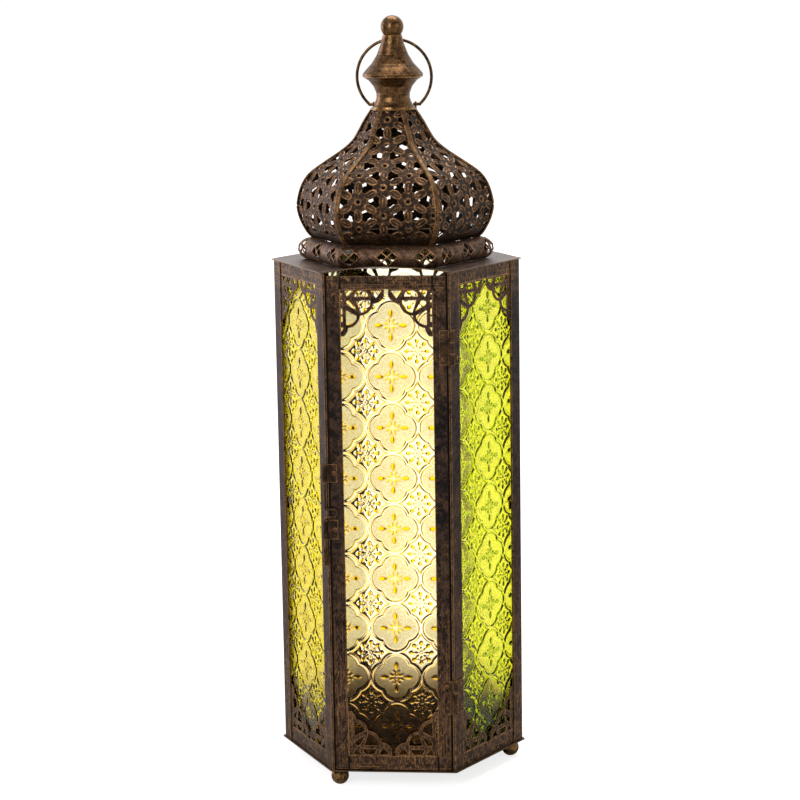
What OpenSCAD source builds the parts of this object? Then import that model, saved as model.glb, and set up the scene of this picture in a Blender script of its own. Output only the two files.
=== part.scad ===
// Ramadan fanous: a hexagonal sheet-metal candle lantern with six panes of pressed
// glass, a hinged door with a drop bolt, a ribbed dome, a turned finial and a bail ring.
// Millimetres, +Z up. The origin is on the lantern's axis, where its feet stand.
// The door is on the -Y face, and the hexagon has corners on the X axis.

/* [Plates] */
// How far the corners of the tray and of the roof plate stand out over the body's corners
plate_overhang = 2; // [1:0.5:12]
// Thickness of the tray
tray_wall = 1; // [0.8:0.1:2]
// Thickness of the roof plate
roof_wall = 1; // [0.8:0.1:2]
// Radius of the round opening in the roof plate, under the dome
vent_radius = 48; // [30:1:49]

/* [Body] */
// Outside radius of the glazed body, measured to a corner
body_radius = 98; // [90:0.5:100]
// Height of the corner posts
post_height = 396.4; // [340:0.1:460]
// Thickness of the folded posts
post_wall = 0.8; // [0.6:0.1:1.2]
// Width of a post's flange
post_flange = 12; // [10:0.5:15]
// Width of the narrow lip beside the door
jamb_lip = 1.7; // [1.4:0.1:3]
// Reach of the stop behind the door's edge, at the end of the jamb
stop_reach = 3; // [2:0.1:4]
// Gap between the door's folded edge and the stop
stop_gap = 0.6; // [0.4:0.1:0.7]
// Thickness of the sheet that frames a fixed pane
frame_wall = 0.8; // [0.6:0.1:1.2]
// Height of the band above each pane
top_band = 10; // [8:0.5:16]
// Height of the band below each pane
bottom_band = 11; // [8:0.5:16]

/* [Panes] */
// Thickness of the pressed glass
glass_wall = 3; // [2:0.1:3.2]
// How far a pane reaches behind the edge of its window
glass_lap = 6; // [4:0.5:6.5]
// Gap between a pane and the tray or the roof plate
glass_end_gap = 2; // [1:0.5:5]
// Thickness of the clips behind the panes
clip_wall = 0.8; // [0.5:0.1:1]
// Height of a clip
clip_height = 8; // [5:1:14]
// How far a clip reaches over the glass
clip_reach = 5; // [3:0.5:8]

/* [Pressed pattern] */
// Distance between neighbouring quatrefoils of the pressed glass
figure_pitch = 40; // [32:0.5:60]
// Height of the pressed pattern
figure_rise = 0.8; // [0.4:0.05:1]
// Width of a quatrefoil's raised rim
figure_rim = 1.3; // [0.8:0.1:2]
// Width of the plain edge round a pane
figure_border = 1; // [0.5:0.1:3]

/* [Corner fretwork] */
// Width of a pierced corner
fret_width = 34; // [26:0.5:36]
// Height of a pierced corner
fret_height = 36.5; // [28:0.5:45]

/* [Door] */
// Gap between the door and its jambs
door_side_gap = 0.8; // [0.6:0.1:1.5]
// Gap between the door and the tray
door_foot_gap = 0.8; // [0.5:0.1:2]
// Gap between the door and the roof plate
door_head_gap = 2.2; // [1:0.1:6]
// Thickness of the door's face sheet
door_wall = 1; // [0.8:0.1:1.4]
// Width of the door's stiles
stile_width = 11; // [9:0.5:13]
// Depth of the folded edge round the door
door_fold = 4.6; // [4.4:0.1:4.7]

/* [Hinges] */
// Height of a butt hinge
hinge_height = 27; // [20:1:36]
// Height of the lower hinge's middle above the tray
low_hinge_level = 60.5; // [40:0.5:90]
// Distance of the upper hinge's middle below the roof plate
high_hinge_drop = 57.4; // [30:0.1:90]
// Radius of the rolled knuckles
knuckle_radius = 1.9; // [1.8:0.05:2.1]
// Radius of the hinge pin
pin_radius = 1; // [0.8:0.05:1.2]
// Thickness of the leaves
leaf_wall = 0.8; // [0.6:0.1:1]
// Reach of the leaf on the door, from the pin's axis
door_leaf_reach = 9.7; // [9:0.1:11]
// Reach of the leaf on the post, from the pin's axis
post_leaf_reach = 12.5; // [10:0.1:13]
// Distance between a leaf's two rivets
rivet_spacing = 18; // [12:0.5:20]

/* [Drop bolt] */
// Radius of the bolt's wire
bolt_radius = 1.1; // [0.8:0.05:1.2]
// Height of the keeper's middle above the tray
keeper_level = 173.5; // [120:0.5:180]
// Height of the keeper
keeper_height = 14; // [10:0.5:18]
// Gap between the keeper and the lower bracket
keeper_gap = 7.5; // [5:0.5:15]
// Height of the lower bracket
low_bracket_height = 15.5; // [10:0.5:18]
// Gap between the two brackets
bracket_gap = 29.8; // [29:0.1:40]
// Height of the upper bracket
high_bracket_height = 14.5; // [10:0.5:18]
// Reach of the bolt's looped handle, from the bolt's axis
handle_reach = 9.6; // [7:0.1:14]
// Radius of the loop at the handle's end
handle_bend = 3; // [2.5:0.1:4]

/* [Candle cup] */
// Inside radius of the cup
cup_radius = 20; // [15:0.5:30]
// Height of the cup
cup_height = 12; // [8:0.5:30]
// Thickness of the cup
cup_wall = 1; // [0.8:0.1:2]
// Width of the flange that is soldered to the tray
cup_flange = 4; // [2:0.5:8]

/* [Feet] */
// Radius of a ball foot
foot_radius = 7; // [5:0.25:9]
// Height that is cut off the ball above and below
foot_flat = 0.5; // [0.3:0.1:1]
// How far the feet stand in from the corners of the tray
foot_inset = 12; // [10:0.5:30]
// Radius of the foot's stud
foot_stud_radius = 1.2; // [1:0.1:1.4]
// Corner radius of the foot's nut
foot_nut_radius = 2.6; // [2.2:0.1:2.8]
// Height of the foot's nut
foot_nut_height = 2.2; // [1.5:0.1:3]

/* [Dome] */
// Largest radius of the dome, measured to a corner
dome_radius = 77.6; // [68:0.2:82]
// Height of the dome
dome_height = 101; // [80:0.5:130]
// Thickness of the dome's sheet
dome_wall = 1; // [0.8:0.1:1.5]
// Width of the seam between two gores
gore_seam = 0.2; // [0.1:0.05:0.5]
// Width of the strips over the seams
rib_width = 3; // [2:0.1:5]
// Thickness of those strips
rib_wall = 0.7; // [0.5:0.1:1.2]
// Radius of the half-round moulding under the dome
moulding_radius = 9; // [7:0.25:9.5]
// Thickness of the moulding's sheet
moulding_wall = 1; // [0.8:0.1:1.5]

/* [Piercing] */
// Distance between neighbouring eyelets of the dome
pierce_pitch = 22.2; // [18:0.1:30]
// Radius of the eyelets
eyelet_radius = 1.5; // [1:0.1:2]
// Width of the plain border along the seams of the dome and the moulding
seam_border = 1.8; // [1:0.1:3]
// Width of the plain border at the dome's foot and crown
end_border = 3; // [2:0.1:6]
// Side of a square opening in the moulding
diamond_side = 5; // [3:0.1:5.2]
// Width of the web between the four openings of a group
diamond_web = 1.1; // [0.8:0.1:1.6]
// Distance between neighbouring groups
diamond_pitch = 29.5; // [24:0.5:40]

/* [Finial] */
// Radius of the finial's widest rim
rim_radius = 23.7; // [22:0.1:28]
// Height of the waisted drum below the rim
drum_height = 24.5; // [20:0.5:32]
// Height of the cone above the rim
cone_height = 32.5; // [28:0.5:40]
// Radius of the top knob
knob_radius = 9; // [7:0.25:12]
// Radius of the threaded stud through the finial
stud_radius = 2; // [1.5:0.1:2.5]
// Thickness of the collar between dome and finial
collar_wall = 1.2; // [1:0.1:2]

/* [Bail] */
// Radius of the bail's wire
bail_wire = 1.2; // [0.8:0.05:1.4]
// Gap between the finial's rim and the bail
bail_gap = 4.6; // [3:0.1:8]
// Least gap between the collar and the bail's ears
ear_gap = 0.1; // [0.1:0.05:1.5]
// Height of the bail's pivot above the collar
pivot_rise = 1.9; // [1.7:0.1:4]
// How far the bail's pivot lies behind the finial's neck
bail_lean = 1.9; // [1:0.1:3]
// Thickness of the bail's ears
ear_wall = 1.5; // [1:0.1:2]

/* [Fits] */
// Clearance of a pin in its running bore, on the radius
running_gap = 0.05; // [0.03:0.01:0.08]
// Clearance of the loose wires in their holes, on the radius
loose_gap = 0.25; // [0.25:0.05:0.3]
// Gap between pieces that pass one another
passing_gap = 0.3; // [0.2:0.05:0.4]

/* [Hidden] */
$fn = 64;

// Colours, as the photographed lantern has them
bronze = [0.31, 0.25, 0.22];
dark_bronze = [0.24, 0.18, 0.14];
old_gold = [0.55, 0.40, 0.22];
green_glass = [0.80, 0.84, 0.30, 0.5];
amber_glass = [0.93, 0.70, 0.25, 0.5];
clear_glass = [0.96, 0.94, 0.75, 0.5];

plate_side = body_radius + plate_overhang; // a hexagon's side is its corner radius
overrun = plate_side / 20; // how far a cut runs past what it cuts

// Turns of the faces and corners about the axis, counted from the front face
front_right_turn = 60;
back_right_turn = 120;
back_turn = 180;
back_left_turn = 240;
front_left_turn = 300;

// Plates and body
foot_height = 2 * (foot_radius - foot_flat);
tray_top = foot_height + tray_wall;
roof_foot = tray_top + post_height;
roof_top = roof_foot + roof_wall;
face_depth = body_radius * cos(30); // from the axis to the body's outside face
face_half = body_radius / 2;
foot_circle = plate_side - foot_inset;
frame_front = face_depth - post_wall;
frame_back = frame_front - frame_wall;
window_half = face_half - post_flange;
frame_half = frame_back * tan(30) - post_wall;
window_foot = tray_top + bottom_band;
window_head = roof_foot - top_band;
glass_half = window_half + glass_lap;
glass_foot = tray_top + glass_end_gap;
glass_head = roof_foot - glass_end_gap;

// Door
door_half = face_half - jamb_lip - door_side_gap;
jamb_depth = door_fold + stop_gap + post_wall; // the stop included
door_foot = tray_top + door_foot_gap;
door_head = roof_foot - door_head_gap;
door_window_half = door_half - stile_width;
door_window_foot = door_foot + bottom_band;
door_window_head = door_head - top_band;
door_glass_half = door_window_half + glass_lap;
door_glass_foot = door_window_foot - glass_lap;
door_glass_head = door_window_head + glass_lap;

// Pressed pattern: shares of figure_pitch, from a quatrefoil's middle or between four of them
lobe_middle_share = 0.2;
lobe_radius_share = 0.278;
star_shares = [0.31, 0.06]; // reach of the four points inside a quatrefoil, and of the waist between
flower_shares = [0.23, 0.09]; // the same of the eight-petalled flower between four quatrefoils
door_shift_shares = [0.075, -0.048]; // place of the pattern on the door's pane, from its middle
pane_shift_shares = [[0.175, 0.13], [-0.075, -0.28], [0.025, -0.055], [0.1, -0.48], [-0.15, -0.18]];

// Hinge and bolt axes: mirror images at the two front corners
axis_depth = face_depth + knuckle_radius;
axis_side = axis_depth * tan(30);
pin_bore = pin_radius + running_gap;
bolt_bore = bolt_radius + loose_gap;
rivet_radius = 1;
rivet_head = 1.7;
rivet_head_height = 0.8;
rivet_inset = 2.8;
low_hinge = tray_top + low_hinge_level;
high_hinge = roof_foot - high_hinge_drop;
keeper_foot = tray_top + keeper_level - keeper_height / 2;
low_bracket_foot = keeper_foot + keeper_height + keeper_gap;
low_bracket_head = low_bracket_foot + low_bracket_height;
high_bracket_foot = low_bracket_head + bracket_gap;
high_bracket_head = high_bracket_foot + high_bracket_height;
shank_bend = 2 * bolt_radius;
low_arm = low_bracket_head + passing_gap + shank_bend;
high_arm = low_arm + 2 * handle_bend;

// Dome: the outline's shares of dome_radius and dome_height, from foot to crown
dome_shares = [[0.845, 0], [0.905, 0.048], [0.968, 0.139], [1, 0.23], [0.995, 0.3],
    [0.951, 0.413], [0.867, 0.505], [0.702, 0.596], [0.523, 0.687], [0.421, 0.755],
    [0.357, 0.83], [0.295, 0.916], [0.222, 1]];
moulding_rise_share = 8 / 9; // height of the moulding's centre, of its radius
moulding_inset_share = 0.2; // how far its centre lies outside the dome's foot
dome_foot_depth = dome_shares[0][0] * dome_radius * cos(30);
moulding_depth = dome_foot_depth + moulding_inset_share * moulding_radius;
moulding_level = roof_top + moulding_rise_share * moulding_radius;
dome_foot = moulding_level + moulding_radius * sqrt(1 - pow(moulding_inset_share, 2));
dome_head = dome_foot + dome_height;
dome_steps = 3; // straight stretches between two points of the outline
dome_line = [for (p = smooth_line(dome_shares, dome_steps))
    [p[0] * dome_radius * cos(30), dome_foot + p[1] * dome_height]];
corner_line = [for (p = dome_line) [p[0] / cos(30), p[1]]];
dome_lengths = [for (i = 0, s = 0; i < len(dome_line); s = s + stretch(dome_line, i), i = i + 1) s];
dome_length = dome_lengths[len(dome_lengths) - 1];
crown_radius = dome_shares[len(dome_shares) - 1][0] * dome_radius;

// Piercing: shares of pierce_pitch and of diamond_pitch, one place for each face, from the front
opening_tip_shares = [0.207, 0.036]; // reach and half width of a tip of a three-tipped opening
gore_shift_shares = [[-0.13, 0.7], [0.18, 0.53], [-0.33, 0.22], [0.09, 0.75], [0.35, 0.4], [-0.22, 0.88]];
moulding_shift_shares = [-0.02, 0.08, -0.1, 0.05, 0.11, -0.07];
column_pitch = pierce_pitch * cos(30);
diamond_tilt = 7; // of a group's middle, above the level of the moulding's centre
diamond_step = (diamond_side + diamond_web) / sqrt(2); // from a group's middle to an opening's

// Finial: shares of rim_radius and of the height of each piece
drum_shares = [[0.7, 0], [0.69, 0.05], [0.645, 0.106], [0.59, 0.216], [0.553, 0.347],
    [0.561, 0.482], [0.65, 0.694], [0.81, 0.882], [1, 1]];
cone_shares = [[1, 0], [1, 0.07], [0.895, 0.163], [0.692, 0.323], [0.523, 0.523],
    [0.384, 0.784], [0.32, 0.975], [0.32, 1]];
collar_radius = crown_radius + rib_wall;
drum_foot = dome_head + collar_wall;
cone_foot = drum_foot + drum_height;
knob_foot = cone_foot + cone_height;
knob_seat_share = 0.67; // height of the knob's seat below its middle, of its radius
knob_neck = knob_radius * sqrt(1 - pow(knob_seat_share, 2));
knob_middle = knob_foot + knob_seat_share * knob_radius;
stud_foot = dome_head - 3 * stud_radius;
stud_head = knob_foot + 4 * stud_radius;
stud_bore = stud_radius + running_gap;

// Bail
ear_radius = 2 * bail_wire;
ear_front = cone_shares[len(cone_shares) - 1][0] * rim_radius + bail_wire + passing_gap + bail_lean - ear_radius;
ear_middle = sqrt(pow(collar_radius + ear_gap, 2) - pow(ear_front, 2)) + ear_wall / 2; // clear of the collar
bail_foot = ear_middle + ear_wall + loose_gap + passing_gap + bail_wire;
bail_radius = rim_radius + bail_gap + bail_wire;
pivot_level = dome_head + collar_wall + pivot_rise;
bail_middle = sqrt(pow(bail_radius, 2) - pow(bail_foot, 2)); // circle's centre above the pivot
bail_length = bail_middle + bail_radius;
neck_level = pivot_level + bail_length - bail_wire;
neck_radius = rim_radius * lookup((neck_level - cone_foot) / cone_height,
    [for (p = cone_shares) [p[1], p[0]]]);
bail_rest = neck_radius + bail_wire + passing_gap; // wire's middle behind the axis, at the neck
pivot_depth = bail_rest + bail_lean;
bail_tilt = asin(bail_lean / bail_length);
bail_foot_turn = asin(bail_middle / bail_radius); // of the feet, below the circle's middle
bail_bead_share = 1.1; // the hammered corner at a foot, of the wire
bail_bead = bail_bead_share * bail_wire;

// Fretwork: shares of fret_width and fret_height, from the window's corner
fret_outline_shares = [[0, 0], [0.985, 0], [0.735, 0.271], [0.426, 0.537], [0.13, 0.784], [0, 0.985]];
scallop_shares = [[0.718, 0.019], [0.435, 0.266], [0.137, 0.529], [-0.135, 0.784]];
scallop_radius_share = 0.282; // of fret_width, to the middle of the member
member_share = 0.066; // width of a member, of fret_width
fret_opening_shares = [
    [[0.941, 0.033], [0.697, 0.033], [0.812, 0.19]],
    [[0.303, 0.028], [0.106, 0.028], [0.165, 0.165]],
    [[0.262, 0.255], [0.16, 0.33], [0.39, 0.463]],
    [[0.05, 0.085], [0.015, 0.085], [0.015, 0.148], [0.05, 0.148]],
    [[0.05, 0.23], [0.015, 0.23], [0.015, 0.28], [0.05, 0.28]],
    [[0.05, 0.405], [0.015, 0.405], [0.015, 0.537], [0.05, 0.537]],
    [[0.05, 0.575], [0.015, 0.575], [0.015, 0.69], [0.05, 0.69]],
    [[0.068, 0.808], [0.012, 0.808], [0.022, 0.9]]];
arch_shares = [0.482, 0.155]; // middle of the small arch's foot
arch_radius_share = 0.153;
petal_shares = [0.206, 0.285]; // middle of the petal's round end
petal_radius_share = 0.062;
low_field_shares = [[0.72, 0.233], [0.365, 0.233], [0.476, 0.55], [0.72, 0.55]];
end_field_shares = [[0.37, 0.559], [0.132, 0.444], [0.132, 0.77], [0.37, 0.77]];

// A point at an angle on the unit circle
function toward(a) = [cos(a), sin(a)];
// Points that are shares of a width and a height
function from_shares(list, w, h) = [for (p = list) [p[0] * w, p[1] * h]];
// Normal of a polyline at point i, to the right of its course, averaged over its neighbours
function course(line, i) = line[min(i + 1, len(line) - 1)] - line[max(i - 1, 0)];
function side_normal(line, i) = let (d = course(line, i)) [d[1], -d[0]] / norm(d);
// The polyline moved sideways by a distance
function moved_line(line, d) = [for (i = [0 : len(line) - 1]) line[i] + d * side_normal(line, i)];
function reversed(list) = [for (i = [len(list) - 1 : -1 : 0]) list[i]];
// Length of the stretch of a polyline that starts at point i, and 0 at its end
function stretch(line, i) = i + 1 < len(line) ? norm(line[i + 1] - line[i]) : 0;
// Point of the smooth curve from b to c, between its neighbours a and d, for t from 0 to 1
function curve_point(a, b, c, d, t) =
    (2 * b + t * (c - a) + pow(t, 2) * (2 * a - 5 * b + 4 * c - d) + pow(t, 3) * (3 * b - a - 3 * c + d)) / 2;
// A smooth curve through the points, with so many straight stretches from each to the next
function smooth_line(points, steps) = let (last = len(points) - 1) concat(
    [for (i = [0 : last - 1], k = [0 : steps - 1])
        curve_point(points[max(i - 1, 0)], points[i], points[i + 1], points[min(i + 2, last)], k / steps)],
    [points[last]]);
// Depth or height of the dome's outline at a length along it from its foot
function dome_at(s, axis) = lookup(s, [for (i = [0 : len(dome_line) - 1]) [dome_lengths[i], dome_line[i][axis]]]);
function dome_course(s) = let (d = eyelet_radius)
    [dome_at(s + d, 0) - dome_at(s - d, 0), dome_at(s + d, 1) - dome_at(s - d, 1)];

// Turns a piece of the front face to another face
module face(turn) { rotate([0, 0, turn]) children(); }

// Stands a drawing of the front face up in its plane: its back lies at the given depth
module upright(depth, wall) {
    translate([0, wall - depth, 0]) rotate([90, 0, 0]) linear_extrude(height = wall) children();
}

// The sixth of the body behind the front face, less half a gap on each side
module sector(height, gap) {
    reach = 2 * plate_side;
    translate([0, -gap, 0])
        linear_extrude(height = height)
            polygon([[0, 0], [-reach * tan(30), -reach], [reach * tan(30), -reach]]);
}

module hexagon_plate(side, wall) { cylinder(r = side, h = wall, $fn = 6); }

// Upright prism of a plan
module prism(foot, height) { translate([0, 0, foot]) linear_extrude(height = height) children(); }

// Points of a post folded at the corner on the +X axis: along is how far a point lies from
// the corner on one of the two faces, deep how far behind that face; side is 1 or -1
function post_point(side, along, deep) = [body_radius, 0] + along * toward(120 * side) - deep * toward(30 * side);
post_fold = [body_radius - post_wall / sin(60), 0];

module corner_post(turn) {
    color(bronze) rotate([0, 0, turn]) prism(tray_top, post_height)
        polygon([[body_radius, 0], post_point(1, post_flange, 0), post_point(1, post_flange, post_wall),
            post_fold, post_point(-1, post_flange, post_wall), post_point(-1, post_flange, 0)]);
}

// The post beside the door, at the right front corner: a flange, a lip, a jamb and a stop
module door_post_plan() {
    near = jamb_lip - post_wall;
    far = jamb_lip + stop_reach;
    polygon([[body_radius, 0], post_point(1, post_flange, 0), post_point(1, post_flange, post_wall),
        post_fold, post_point(-1, near, post_wall), post_point(-1, near, jamb_depth),
        post_point(-1, far, jamb_depth), post_point(-1, far, jamb_depth - post_wall),
        post_point(-1, jamb_lip, jamb_depth - post_wall), post_point(-1, jamb_lip, 0)]);
}

module door_post() { rotate([0, 0, -60]) prism(tray_top, post_height) door_post_plan(); }

module post_right() { corner_post(0); }
module post_back_right() { corner_post(60); }
module post_back_left() { corner_post(120); }
module post_left() { corner_post(180); }

module post_front_right() {
    color(bronze) difference() {
        door_post();
        for (z = [low_hinge, high_hinge]) face(front_right_turn) mirror([1, 0, 0]) rivet_holes(z, post_leaf_reach);
    }
}

module post_front_left() {
    color(bronze) difference() {
        mirror([1, 0, 0]) door_post();
        mirror([1, 0, 0]) face(front_right_turn) mirror([1, 0, 0])
            rivet_hole(keeper_foot + keeper_height / 2, door_leaf_reach);
    }
}

// Tray, roof plate and feet
foot_turns = [0, 120, 240];

module base_tray() {
    color(dark_bronze) translate([0, 0, foot_height]) difference() {
        hexagon_plate(plate_side, tray_wall);
        for (a = foot_turns) rotate([0, 0, a]) translate([foot_circle, 0, -overrun])
            cylinder(r = foot_stud_radius + running_gap, h = tray_wall + 2 * overrun);
    }
}

module roof_plate() {
    color(bronze) translate([0, 0, roof_foot]) difference() {
        hexagon_plate(plate_side, roof_wall);
        translate([0, 0, -overrun]) cylinder(r = vent_radius, h = roof_wall + 2 * overrun, $fn = 96);
    }
}

module ball_foot(turn) {
    stud_top = tray_top + foot_nut_height + foot_stud_radius / 2;
    color(dark_bronze) rotate([0, 0, turn]) translate([foot_circle, 0, 0]) {
        intersection() {
            translate([0, 0, foot_height / 2]) sphere(r = foot_radius);
            cylinder(r = 2 * foot_radius, h = foot_height);
        }
        translate([0, 0, foot_height / 2]) cylinder(r = foot_stud_radius, h = stud_top - foot_height / 2);
    }
}

module foot_right() { ball_foot(foot_turns[0]); }
module foot_back_left() { ball_foot(foot_turns[1]); }
module foot_front_left() { ball_foot(foot_turns[2]); }

module foot_nuts() {
    color(old_gold) for (a = foot_turns) rotate([0, 0, a]) translate([foot_circle, 0, tray_top]) difference() {
        cylinder(r = foot_nut_radius, h = foot_nut_height, $fn = 6);
        translate([0, 0, -overrun])
            cylinder(r = foot_stud_radius + running_gap, h = foot_nut_height + 2 * overrun);
    }
}

module candle_cup() {
    color(old_gold) translate([0, 0, tray_top]) difference() {
        union() {
            cylinder(r = cup_radius + cup_wall + cup_flange, h = cup_wall);
            cylinder(r = cup_radius + cup_wall, h = cup_height);
        }
        translate([0, 0, cup_wall]) cylinder(r = cup_radius, h = cup_height);
    }
}

// Frames of the fixed panes: a sheet with one tall window
module window_sheet(half, foot, head, window_half, window_foot, window_head) {
    difference() {
        translate([-half, foot]) square([2 * half, head - foot]);
        translate([-window_half, window_foot]) square([2 * window_half, window_head - window_foot]);
    }
}

module pane_frame() {
    color(bronze) upright(frame_front, frame_wall)
        window_sheet(frame_half, tray_top, roof_foot, window_half, window_foot, window_head);
}

module frame_front_right() { face(front_right_turn) pane_frame(); }
module frame_back_right() { face(back_right_turn) pane_frame(); }
module frame_back() { face(back_turn) pane_frame(); }
module frame_back_left() { face(back_left_turn) pane_frame(); }
module frame_front_left() { face(front_left_turn) pane_frame(); }

// One pierced corner, drawn from the window's corner: x along the band, y along the stile
module fret_disc(i, radius) {
    translate([scallop_shares[i][0] * fret_width, scallop_shares[i][1] * fret_height]) circle(r = radius, $fn = 48);
}

module fret_field(i, shares) {
    intersection() {
        fret_disc(i, (scallop_radius_share - member_share / 2) * fret_width);
        polygon(from_shares(shares, fret_width, fret_height));
    }
}

module fret_corner() {
    arch_foot = arch_shares[1] * fret_height;
    arch_radius = arch_radius_share * fret_width;
    difference() {
        intersection() {
            square([fret_width, fret_height]);
            union() {
                polygon(from_shares(fret_outline_shares, fret_width, fret_height));
                for (i = [0 : 3]) fret_disc(i, (scallop_radius_share + member_share / 2) * fret_width);
            }
        }
        for (shares = fret_opening_shares) polygon(from_shares(shares, fret_width, fret_height));
        intersection() {
            translate([arch_shares[0] * fret_width, arch_foot]) circle(r = arch_radius, $fn = 32);
            translate([0, member_share / 2 * fret_height]) square([fret_width, arch_foot - member_share / 2 * fret_height]);
        }
        translate([petal_shares[0] * fret_width, petal_shares[1] * fret_height])
            circle(r = petal_radius_share * fret_width, $fn = 32);
        fret_field(1, low_field_shares);
        fret_field(2, end_field_shares);
    }
}

// The four pierced corners of one window
module fret_set(half, foot, head) {
    for (side = [0, 1]) mirror([side, 0, 0]) {
        translate([half, head]) mirror([1, 0, 0]) mirror([0, 1, 0]) fret_corner();
        translate([half, foot]) mirror([1, 0, 0]) fret_corner();
    }
}

module pane_fretwork() {
    color(bronze) upright(frame_front, frame_wall) fret_set(window_half, window_foot, window_head);
}

module fretwork_front_right() { face(front_right_turn) pane_fretwork(); }
module fretwork_back_right() { face(back_right_turn) pane_fretwork(); }
module fretwork_back() { face(back_turn) pane_fretwork(); }
module fretwork_back_left() { face(back_left_turn) pane_fretwork(); }
module fretwork_front_left() { face(front_left_turn) pane_fretwork(); }

// Panes of pressed glass
module quatrefoil(radius) {
    for (a = [0 : 90 : 270]) rotate(a) translate([lobe_middle_share * figure_pitch, 0]) circle(r = radius, $fn = 32);
}

// A star of so many points, by its reach and its waist
module star(points, shares) {
    polygon([for (i = [0 : 2 * points - 1]) shares[i % 2] * figure_pitch * toward(180 * i / points)]);
}

module pressed_figures(half, height, shift) {
    lobe = lobe_radius_share * figure_pitch;
    columns = ceil(half / figure_pitch);
    rows = ceil(height / figure_pitch);
    for (i = [-columns : columns], j = [-rows : rows])
        translate([(i + shift[0]) * figure_pitch, (j + shift[1]) * figure_pitch]) {
            difference() {
                quatrefoil(lobe + figure_rim / 2);
                quatrefoil(lobe - figure_rim / 2);
            }
            star(4, star_shares);
            translate([figure_pitch / 2, figure_pitch / 2]) star(8, flower_shares);
        }
}

// A pane with its front at the given depth: a plain sheet and the raised pattern on it
module pane(depth, half, foot, head, shift) {
    middle = (head - foot) / 2;
    upright(depth - figure_rise, glass_wall - figure_rise) translate([-half, foot]) square([2 * half, 2 * middle]);
    upright(depth, figure_rise) translate([0, foot + middle]) intersection() {
        pressed_figures(half, middle, shift);
        square([2 * (half - figure_border), 2 * (middle - figure_border)], center = true);
    }
}

module fixed_pane(index) {
    face(60 * index) pane(frame_back, glass_half, glass_foot, glass_head, pane_shift_shares[index - 1]);
}

module glass_front_right() { color(green_glass) fixed_pane(1); }
module glass_back_right() { color(amber_glass) fixed_pane(2); }
module glass_back() { color(clear_glass) fixed_pane(3); }
module glass_back_left() { color(amber_glass) fixed_pane(4); }
module glass_front_left() { color(green_glass) fixed_pane(5); }

// A clip at the right edge of a pane: a tab that stands on the sheet and laps the glass
module clip(depth, half, level) {
    side_gap = passing_gap / 2;
    standing = glass_wall + side_gap + clip_wall;
    translate([0, 0, level - clip_height / 2]) linear_extrude(height = clip_height) {
        translate([half + side_gap, -depth]) square([clip_wall, standing]);
        translate([half - clip_reach, -depth + standing - clip_wall])
            square([clip_reach + side_gap + clip_wall, clip_wall]);
    }
}

module clip_set(depth, half, foot, head) {
    inset_share = 0.12;
    for (side = [0, 1]) mirror([side, 0, 0]) for (share = [inset_share, 0.5, 1 - inset_share])
        clip(depth, half, foot + share * (head - foot));
}

module glass_clips() {
    color(dark_bronze) for (turn = [front_right_turn : 60 : front_left_turn])
        face(turn) clip_set(frame_back, glass_half, glass_foot, glass_head);
}

// Door: a window sheet with a folded edge
module door_frame() {
    color(bronze) difference() {
        union() {
            upright(face_depth, door_wall)
                window_sheet(door_half, door_foot, door_head, door_window_half, door_window_foot, door_window_head);
            upright(face_depth, door_fold)
                window_sheet(door_half, door_foot, door_head, door_half - frame_wall,
                    door_foot + frame_wall, door_head - frame_wall);
        }
        for (z = [low_hinge, high_hinge]) rivet_holes(z, door_leaf_reach);
        mirror([1, 0, 0]) rivet_hole((low_bracket_foot + low_bracket_head) / 2, door_leaf_reach);
        mirror([1, 0, 0]) rivet_hole((high_bracket_foot + high_bracket_head) / 2, door_leaf_reach);
    }
}

module door_fretwork() {
    color(bronze) upright(face_depth, door_wall) fret_set(door_window_half, door_window_foot, door_window_head);
}

module door_glass() {
    color(clear_glass)
        pane(face_depth - door_wall, door_glass_half, door_glass_foot, door_glass_head, door_shift_shares);
}

module door_clips() {
    color(dark_bronze)
        clip_set(face_depth - door_wall, door_glass_half, door_glass_foot, door_glass_head);
}

// Hinge leaf at the right front corner, lying on the front face: own lists the knuckles
// that belong to it, counted from 0 at the foot, of the hinge's three
module leaf(foot, height, reach, knuckles, own, bore) {
    step = height / knuckles;
    difference() {
        union() {
            translate([axis_side - reach, -face_depth - leaf_wall, foot])
                cube([reach - knuckle_radius - passing_gap, leaf_wall, height]);
            for (i = own) {
                low = foot + i * step + (i > 0 ? passing_gap / 2 : 0);
                high = foot + (i + 1) * step - (i < knuckles - 1 ? passing_gap / 2 : 0);
                translate([axis_side, -axis_depth, low]) cylinder(r = knuckle_radius, h = high - low);
                translate([axis_side - reach, -face_depth - leaf_wall, low])
                    cube([reach, leaf_wall, high - low]);
            }
        }
        translate([axis_side, -axis_depth, foot - overrun]) cylinder(r = bore, h = height + 2 * overrun);
    }
}

// Rivet places on a leaf of the front face
module rivet_place(level, reach) {
    translate([axis_side - reach + rivet_inset, -face_depth - leaf_wall, level]) rotate([90, 0, 0]) children();
}

module rivet_hole(level, reach) {
    rivet_place(level, reach) translate([0, 0, -overrun]) cylinder(r = rivet_radius + running_gap, h = 2 * overrun);
}

module rivet_holes(level, reach) {
    for (side = [-1, 1]) rivet_hole(level + side * rivet_spacing / 2, reach);
}

// A domed rivet through a leaf and the sheet behind it
module rivet(level, reach, sheet) {
    cap_radius = (pow(rivet_head, 2) + pow(rivet_head_height, 2)) / (2 * rivet_head_height);
    rivet_place(level, reach) {
        intersection() {
            translate([0, 0, rivet_head_height - cap_radius]) sphere(r = cap_radius);
            cylinder(r = rivet_head, h = rivet_head_height);
        }
        translate([0, 0, -leaf_wall - sheet]) cylinder(r = rivet_radius, h = leaf_wall + sheet + rivet_head_height / 2);
    }
}

module rivet_pair(level, reach, sheet) {
    for (side = [-1, 1]) rivet(level + side * rivet_spacing / 2, reach, sheet);
}

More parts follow.
